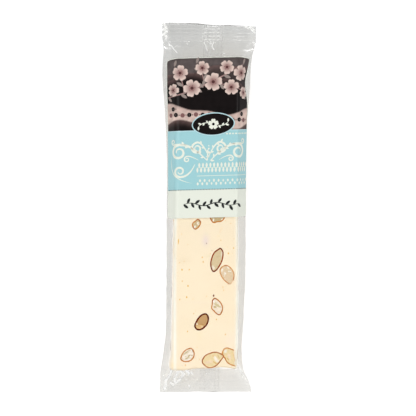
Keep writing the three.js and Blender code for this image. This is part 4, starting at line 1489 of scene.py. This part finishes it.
# %% Print sprigs and strokes
def sprig(name, lines, layer, tint, spacing, length, **inputs):
    """Leaves, or dots, along flat lines, printed on the label. Spacing and length are in mm."""
    points, edges = [], []
    for line in lines:
        start = len(points)
        points += [tuple(p) for p in line]
        edges += [(start + i, start + i + 1) for i in range(len(line) - 1)]
    inputs.update(spacing=spacing * MM, length=length * MM, material=ink)
    piece = run_tree(flat_piece(name, points, edges=edges), SPRIG, **inputs)
    print_on_label(piece, layer, tint)


def stroke(name, strokes, layer, tint):
    """Pen strokes, printed on the label."""
    print_on_label(ribbons(name, strokes), layer, tint)


def straight_line(from_u, to_u, v, count=60):
    """Points along a level line on the label."""
    return [(u, v) for u in np.linspace(from_u, to_u, count)]


def bow(start, middle, end, count=40):
    """Points on a curve that leaves start, bends towards middle and reaches end."""
    t = np.linspace(0, 1, count)[:, None]
    return (1 - t) ** 2 * np.array(start) + 2 * t * (1 - t) * np.array(middle) + t**2 * np.array(end)


# %% The dotted line and the small rows
DOT_PITCH, DOT_SIZE, RIGHT_ANGLE = 0.9, 0.52, math.pi / 2
edge_line = [(-HALF_WIDTH + 0.8, STRIP_TO), (HALF_WIDTH - 0.6, STRIP_TO)]
sprig("label_dots", [edge_line], 0, srgb(40, 58, 64), DOT_PITCH, DOT_SIZE, slimness=1.0, turn=0.0, vary=0.0)
sprig("label_small_row", [[(-6.0, -26.1), (25.2, -26.1)]], 0, INK_CREAM, 1.35, 1.9, slimness=0.62,
      turn=RIGHT_ANGLE, vary=0.2, seed=3)
sprig("label_tiny_row", [[(11.0, 1.9), (25.0, 1.9)]], 0, INK_CREAM, 1.6, 1.25, slimness=0.8, turn=0.0,
      vary=0.15, seed=5)
stroke("label_thin_rule", [(straight_line(-6.4, 25.2, -22.4), 0.32, 0.0)], 0, INK_CREAM)

# %% Helpers for blossoms and dots
ROUND_CORNERS, PETALS = 16, 5
PETAL_MIDDLE, PETAL_REACH, PETAL_WIDE, PETAL_FLARE = 0.56, 0.44, 0.37, 0.35
NOTCH_DEPTH, NOTCH_WIDTH, HEART_FROM, HEART_GAIN = 0.10, 0.35, 0.2, 1.7


def ring_of_angles(count):
    """Equal steps once round, in radians, without the last one, which is the first again."""
    return np.linspace(0, 2 * np.pi, count, endpoint=False)


def blossoms(name, flowers, layer, inks):
    """Flowers of five petals, each ((u, v), radius, turn in degrees). inks is (at hearts, at edges)."""
    points, faces = [], []
    for (u, v), radius, turn in flowers:
        for k in range(PETALS):
            heading = math.radians(turn + 360 / PETALS * k)
            around = ring_of_angles(ROUND_CORNERS)
            out = radius * (PETAL_MIDDLE + PETAL_REACH * np.cos(around))
            side = radius * PETAL_WIDE * np.sin(around) * (1 + PETAL_FLARE * np.cos(around))
            from_tip = (around + np.pi) % (2 * np.pi) - np.pi
            out = out - radius * NOTCH_DEPTH * np.exp(-(from_tip / NOTCH_WIDTH) ** 2)
            start = len(points)
            points += [(u + o * math.cos(heading) - s * math.sin(heading),
                        v + o * math.sin(heading) + s * math.cos(heading)) for o, s in zip(out, side)]
            faces.append(tuple(range(start, start + ROUND_CORNERS)))

    def shaded(flat):
        """The inks' colours at flat points, by how far out they are in the nearest flower."""
        shares = [np.linalg.norm(flat - spot, axis=1) / radius for spot, radius, _ in flowers]
        outness = np.min(shares, axis=0)
        return blend(plain(inks[0], len(flat)), inks[1], (outness - HEART_FROM) * HEART_GAIN)

    print_on_label(flat_piece(name, points, faces), layer, shaded)


def discs(name, spots, layer, tint):
    """Round dots, each ((u, v), radius), printed on the label."""
    points, faces = [], []
    for (u, v), radius in spots:
        start = len(points)
        around = ring_of_angles(ROUND_CORNERS)
        points += [(u + radius * math.cos(a), v + radius * math.sin(a)) for a in around]
        faces.append(tuple(range(start, start + ROUND_CORNERS)))
    print_on_label(flat_piece(name, points, faces), layer, tint)


# %% [markdown]
# The big ornament in the blue field is scrollwork: a few strokes that end in curls. A curl is a spiral whose
# radius shrinks as it turns.

# %% The scrollwork
SCROLL_TAPER = 0.75


def curl(centre, radius, start, turns, count=46, shrink=0.28):
    """A spiral round centre, inwards. start is in degrees, and a negative number of turns is clockwise."""
    t = np.linspace(0, 1, count)
    angle = np.radians(start) + 2 * np.pi * turns * t
    r = radius * (1 - (1 - shrink) * t)
    return np.column_stack([centre[0] + r * np.cos(angle), centre[1] + r * np.sin(angle)])


def scroll(centre, radius, start, turns, lead_in, width):
    """A stroke that comes from lead_in and ends in a curl."""
    spiral = curl(centre, radius, start, turns)
    way = spiral[0] - spiral[2]
    arm = bow(lead_in, spiral[0] + way * (radius * 1.4 / np.linalg.norm(way)), spiral[0], 34)
    return np.vstack([arm[:-1], spiral]), width, SCROLL_TAPER


MIDDLE = 0.4
LEFT_SCROLLS = [
    ((-17.0, -8.4), 4.5, 75, 1.35, (-0.5, -13.6), 1.5),
    ((-6.6, -6.3), 3.2, 110, 1.3, (0.6, -11.6), 1.2),
    ((-20.6, -2.4), 1.7, -60, -1.2, (-12.6, -4.2), 0.8),
    ((-12.4, -12.6), 1.6, 120, 1.2, (-5.6, -13.2), 0.8),
]
RIGHT_SCROLLS = [((2 * MIDDLE - u, v), radius, 180 - start, -turns, (2 * MIDDLE - a, b), width)
                 for (u, v), radius, start, turns, (a, b), width in LEFT_SCROLLS]
scrolls = [scroll(*made) for made in LEFT_SCROLLS + RIGHT_SCROLLS]
scrolls.append(scroll((-16.4, -19.6), 3.3, -70, -1.3, (-7.6, -15.4), 1.2))
scrolls.append((bow((-22.4, -10.5), (-24.4, -24.0), (-9.0, -26.6)), 0.5, 0.9))
stroke("label_scrolls", scrolls, 0, INK_CREAM)
STEM_SPOTS = 30
stems = [line[:STEM_SPOTS] for line, _, _ in scrolls[:2] + scrolls[4:6]]
sprig("label_scroll_leaves", stems, 1, INK_CREAM, 2.8, 2.3, slimness=0.5, turn=0.8, vary=0.25, seed=8)
discs("label_scroll_pearls", [((MIDDLE, -8.8), 0.75), ((MIDDLE, -6.6), 0.55), ((MIDDLE, -4.9), 0.4)], 1,
      INK_CREAM)
ROW_FROM, ROW_TO, ROW_AT = -6.2, 25.2, -17.6
stroke("label_row_stems", [(straight_line(ROW_FROM, ROW_TO, ROW_AT), 0.3, 0.0)], 0, INK_CREAM)
sprig("label_wide_row", [[(ROW_FROM, ROW_AT), (ROW_TO, ROW_AT)]], 1, INK_CREAM, 1.05, 3.0, slimness=0.44,
      turn=RIGHT_ANGLE, vary=0.06, seed=2)

# %% [markdown]
# The white strip has one twig in dark ink. The top field has a branch of almond blossom, in the pinks and
# greys of the label, and the badge on its lower edge is a dark pointed oval with one blossom in it.

# %% The twig on the white strip
TWIG = np.column_stack([np.linspace(-14.2, 17.2, 80), -39.0 + 0.9 * np.sin(np.linspace(0, 4 * np.pi, 80))])
DARK_INK = srgb(44, 46, 46)
stroke("label_twig", [(TWIG, 0.55, 0.5)], 0, DARK_INK)
sprig("label_twig_leaves", [TWIG], 1, DARK_INK, 2.2, 3.6, slimness=0.46, turn=0.95, vary=0.15, seed=6)

# %% The blossoming branch
BRANCHES = [
    (bow((-25.0, 24.0), (-10.0, 25.0), (21.0, 42.5), 70), 0.9, 0.55),
    (bow((-14.5, 26.0), (-14.0, 33.0), (-20.0, 42.0)), 0.6, 0.8),
    (bow((-3.0, 29.2), (-2.0, 37.0), (-7.0, 43.5)), 0.5, 0.8),
    (bow((2.5, 31.6), (14.0, 31.0), (23.0, 25.0)), 0.6, 0.8),
]
stroke("label_branches", BRANCHES, 0, INK_ROSE)
twigs = [line for line, _, _ in BRANCHES]
sprig("label_leaves", twigs, 1, srgb(150, 136, 130), 4.3, 4.6, slimness=0.42, turn=0.85, vary=0.35, seed=11)
FLOWERS = [
    ((-16.6, 38.0), 4.9, 10), ((-9.6, 29.0), 5.4, 40), ((-20.8, 28.0), 4.0, 0), ((-3.6, 40.6), 4.4, 25),
    ((2.8, 32.4), 5.6, 5), ((10.8, 40.8), 4.4, 55), ((19.4, 37.2), 5.0, 30), ((13.4, 29.0), 4.8, 18),
    ((21.8, 25.6), 3.8, 50),
]
blossoms("label_flowers", FLOWERS, 2, (srgb(150, 112, 108), srgb(220, 198, 188)))
discs("label_flower_hearts", [(spot, radius * 0.17) for spot, radius, _ in FLOWERS], 3, srgb(84, 52, 52))
STAMENS_OUT, STAMEN_RADIUS, DEGREES_APART = 0.32, 0.2, 360 / PETALS
stamens = []
for (u, v), radius, turn_of in FLOWERS:
    for k in range(PETALS):
        way, out = math.radians(turn_of + DEGREES_APART * (k + 0.5)), radius * STAMENS_OUT
        stamens.append(((u + out * math.cos(way), v + out * math.sin(way)), STAMEN_RADIUS))
discs("label_stamens", stamens, 3, srgb(72, 46, 46))

# %% The dots on the pale hill
DOT_GRID, DOT_ROWS = 3.9, (20.6, 17.0, 13.4, 9.8)
DOT_RADIUS, SMALL_RADIUS, HEART_RADIUS = 1.3, 0.32, 0.42
DOT_ROOM, SMALL_ROOM, DOT_EDGE = 1.5, 2.2, 1.6
dark_dots, rose_dots, small_dots = [], [], []
for row, v in enumerate(DOT_ROWS):
    for k in range(-6, 7):
        u = (k + 0.5 * (row % 2)) * DOT_GRID + 0.6
        above, below = crest(HILLS[DOTTED_HILL], u) - v, v - crest(HILLS[DOTTED_HILL + 1], u)
        room = min(above, below, HALF_WIDTH - DOT_EDGE - abs(u))
        if room > DOT_ROOM:
            (dark_dots if (k + row) % 2 else rose_dots).append(((u, v + 0.2 * math.sin(k * 2.1)), DOT_RADIUS))
        if room > SMALL_ROOM:
            small_dots.append(((u + DOT_GRID / 2, v), SMALL_RADIUS))
discs("label_dark_dots", dark_dots, 1, INK_BLACK)
discs("label_rose_dots", rose_dots, 1, srgb(128, 92, 90))
discs("label_small_dots", small_dots, 1, INK_TAUPE)
discs("label_dot_hearts", [(spot, HEART_RADIUS) for spot, _ in dark_dots], 2, INK_GREY)

# %% The badge
BADGE = dict(centre=(3.0, 7.7), half_length=12.0, half_height=6.2, turn=math.radians(2.0))


def badge_loop(grow, count=72):
    """The badge's outline, a pointed oval, made larger by grow."""
    around = ring_of_angles(count)
    u = (BADGE["half_length"] + grow) * np.cos(around)
    v = (BADGE["half_height"] + grow) * np.sin(around) * np.abs(np.sin(around)) ** 0.06
    c, s = math.cos(BADGE["turn"]), math.sin(BADGE["turn"])
    return np.column_stack([BADGE["centre"][0] + u * c - v * s, BADGE["centre"][1] + u * s + v * c])


def filled(name, loop, layer, tint):
    """A filled shape, printed on the label."""
    print_on_label(flat_piece(name, loop, [tuple(range(len(loop)))]), layer, tint)


filled("label_badge_rim", badge_loop(0.6), 4, INK_PALE_BLUE)
filled("label_badge", badge_loop(0.0), 5, INK_BLACK)
blossoms("label_badge_flower", [(BADGE["centre"], 3.3, 18)], 6, (INK_CREAM, INK_CREAM))
discs("label_badge_heart", [(BADGE["centre"], 0.8)], 7, INK_BLACK)
GARLAND = [bow((6.0, 6.9), (9.4, 6.2), (11.6, 8.9), 24), bow((0.0, 8.4), (-3.4, 9.0), (-5.6, 6.4), 24)]
stroke("label_badge_stems", [(line, 0.45, 0.5) for line in GARLAND], 6, INK_CREAM)
sprig("label_badge_leaves", GARLAND, 6, INK_CREAM, 1.6, 2.2, slimness=0.5, turn=0.8, vary=0.15, seed=9)
print("Printed shapes:", len(printed))

# %% [markdown]
# ## Everything rides on the one body
# The pack has no joints, so its one body is called root. The film, its seam and all that is inside stand for
# the solid of the wrapped bar, and the paper with its inks stands for the label's.

# %% Bodies, and what is replaced
for piece, slot_name in ((film, "film"), (back_seam, "film"), (nougat, "nougat"),
                         (crumbs, "almond_flesh"), (dark_crumbs, "almond_skin")):
    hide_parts("wrapped_bar")
    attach(piece, "root")
for name, piece in almonds.items():
    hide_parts("wrapped_bar")
    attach(piece, "root")
for piece in (label, *printed):
    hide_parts("label")
    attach(piece, "root")

# %% [markdown]
# ## The floor, the light and the camera
# The pack was photographed from straight above on a white table that glows a little, so it throws no shadow.
# Soft lights stand on each side, and the sky right above is dimmer than the horizon, because the film would
# mirror it back into the camera. The camera stands far off with a long lens, so the low seals look as wide as
# they are.

# %% The floor
FLOOR_REACH, FLOOR_AT, FLOOR_GLOW = 1500 * MM, -0.05 * MM, 0.64
quarters = ((-1, -1), (1, -1), (1, 1), (-1, 1))
floor_corners = [(x * FLOOR_REACH, y * FLOOR_REACH, FLOOR_AT) for x, y in quarters]
floor_mesh = bpy.data.meshes.new("floor")
floor_mesh.from_pydata(floor_corners, [], [(0, 1, 2, 3)])
floor = add_object("floor", floor_mesh)
floor_finish = grained("floor", srgb(196, 196, 196), grain=(40, 1.0, 0.004), bump=0.0, roughness=0.9,
                       specular=0.1)
feed(floor_finish.node_tree.nodes["Principled BSDF"], in_Emission_Color=(1, 1, 1, 1),
     in_Emission_Strength=FLOOR_GLOW)
floor_mesh.materials.append(floor_finish)

# %% The light
world = bpy.data.worlds.new("studio")
bpy.context.scene.world = world
world.use_nodes = True
sky = world.node_tree
above = add_node(sky, "ShaderNodeSeparateXYZ", in_0=(add_node(sky, "ShaderNodeTexCoord"), "Generated"))
dim = add_node(sky, "ShaderNodeMapRange", in_Value=(above, "Z"), in_1=0.55, in_2=0.95, in_3=0.9, in_4=0.3)
feed(sky.nodes["Background"], in_Strength=dim)
SOFT_LIGHTS = [
    ("left", (-0.62, 0.05, 0.80), (1.0, 0.12), 6.2),
    ("right", (0.66, -0.05, 0.80), (1.0, 0.12), 5.9),
    ("head", (-0.10, 0.95, 0.75), (0.9, 0.16), 2.8),
    ("foot", (0.10, -0.95, 0.75), (0.9, 0.16), 2.8),
]
for name, place_at, (length, width), power in SOFT_LIGHTS:
    lamp = bpy.data.lights.new(name, "AREA")
    lamp.shape, lamp.size, lamp.size_y, lamp.energy = "RECTANGLE", length, width, power
    light = add_object(name, lamp)
    light.location = place_at
    light.rotation_euler = (Vector((0, 0, 0)) - light.location).to_track_quat("-Z", "Y").to_euler()
bpy.context.scene.view_settings.view_transform = "Standard"
print("Soft lights:", len(SOFT_LIGHTS))

# %% The camera
PHOTO_WIDTH, CAMERA_ABOVE, SENSOR, MIDDLE_HEIGHT = 243.36, 3000.0, 36.0, 11.0
CAMERA_ASIDE, CAMERA_ALONG, CAMERA_TURN = 0.32, -0.15, 0.577
camera_data = bpy.data.cameras.new("camera")
camera_data.sensor_width = SENSOR
camera_data.lens = SENSOR * CAMERA_ABOVE / PHOTO_WIDTH
camera = add_object("camera", camera_data)
camera.location = Vector((CAMERA_ASIDE, CAMERA_ALONG, CAMERA_ABOVE + MIDDLE_HEIGHT)) * MM
camera.rotation_euler = (0, 0, math.radians(CAMERA_TURN))
bpy.context.scene.camera = camera
print("The lens is", round(camera_data.lens), "mm long")
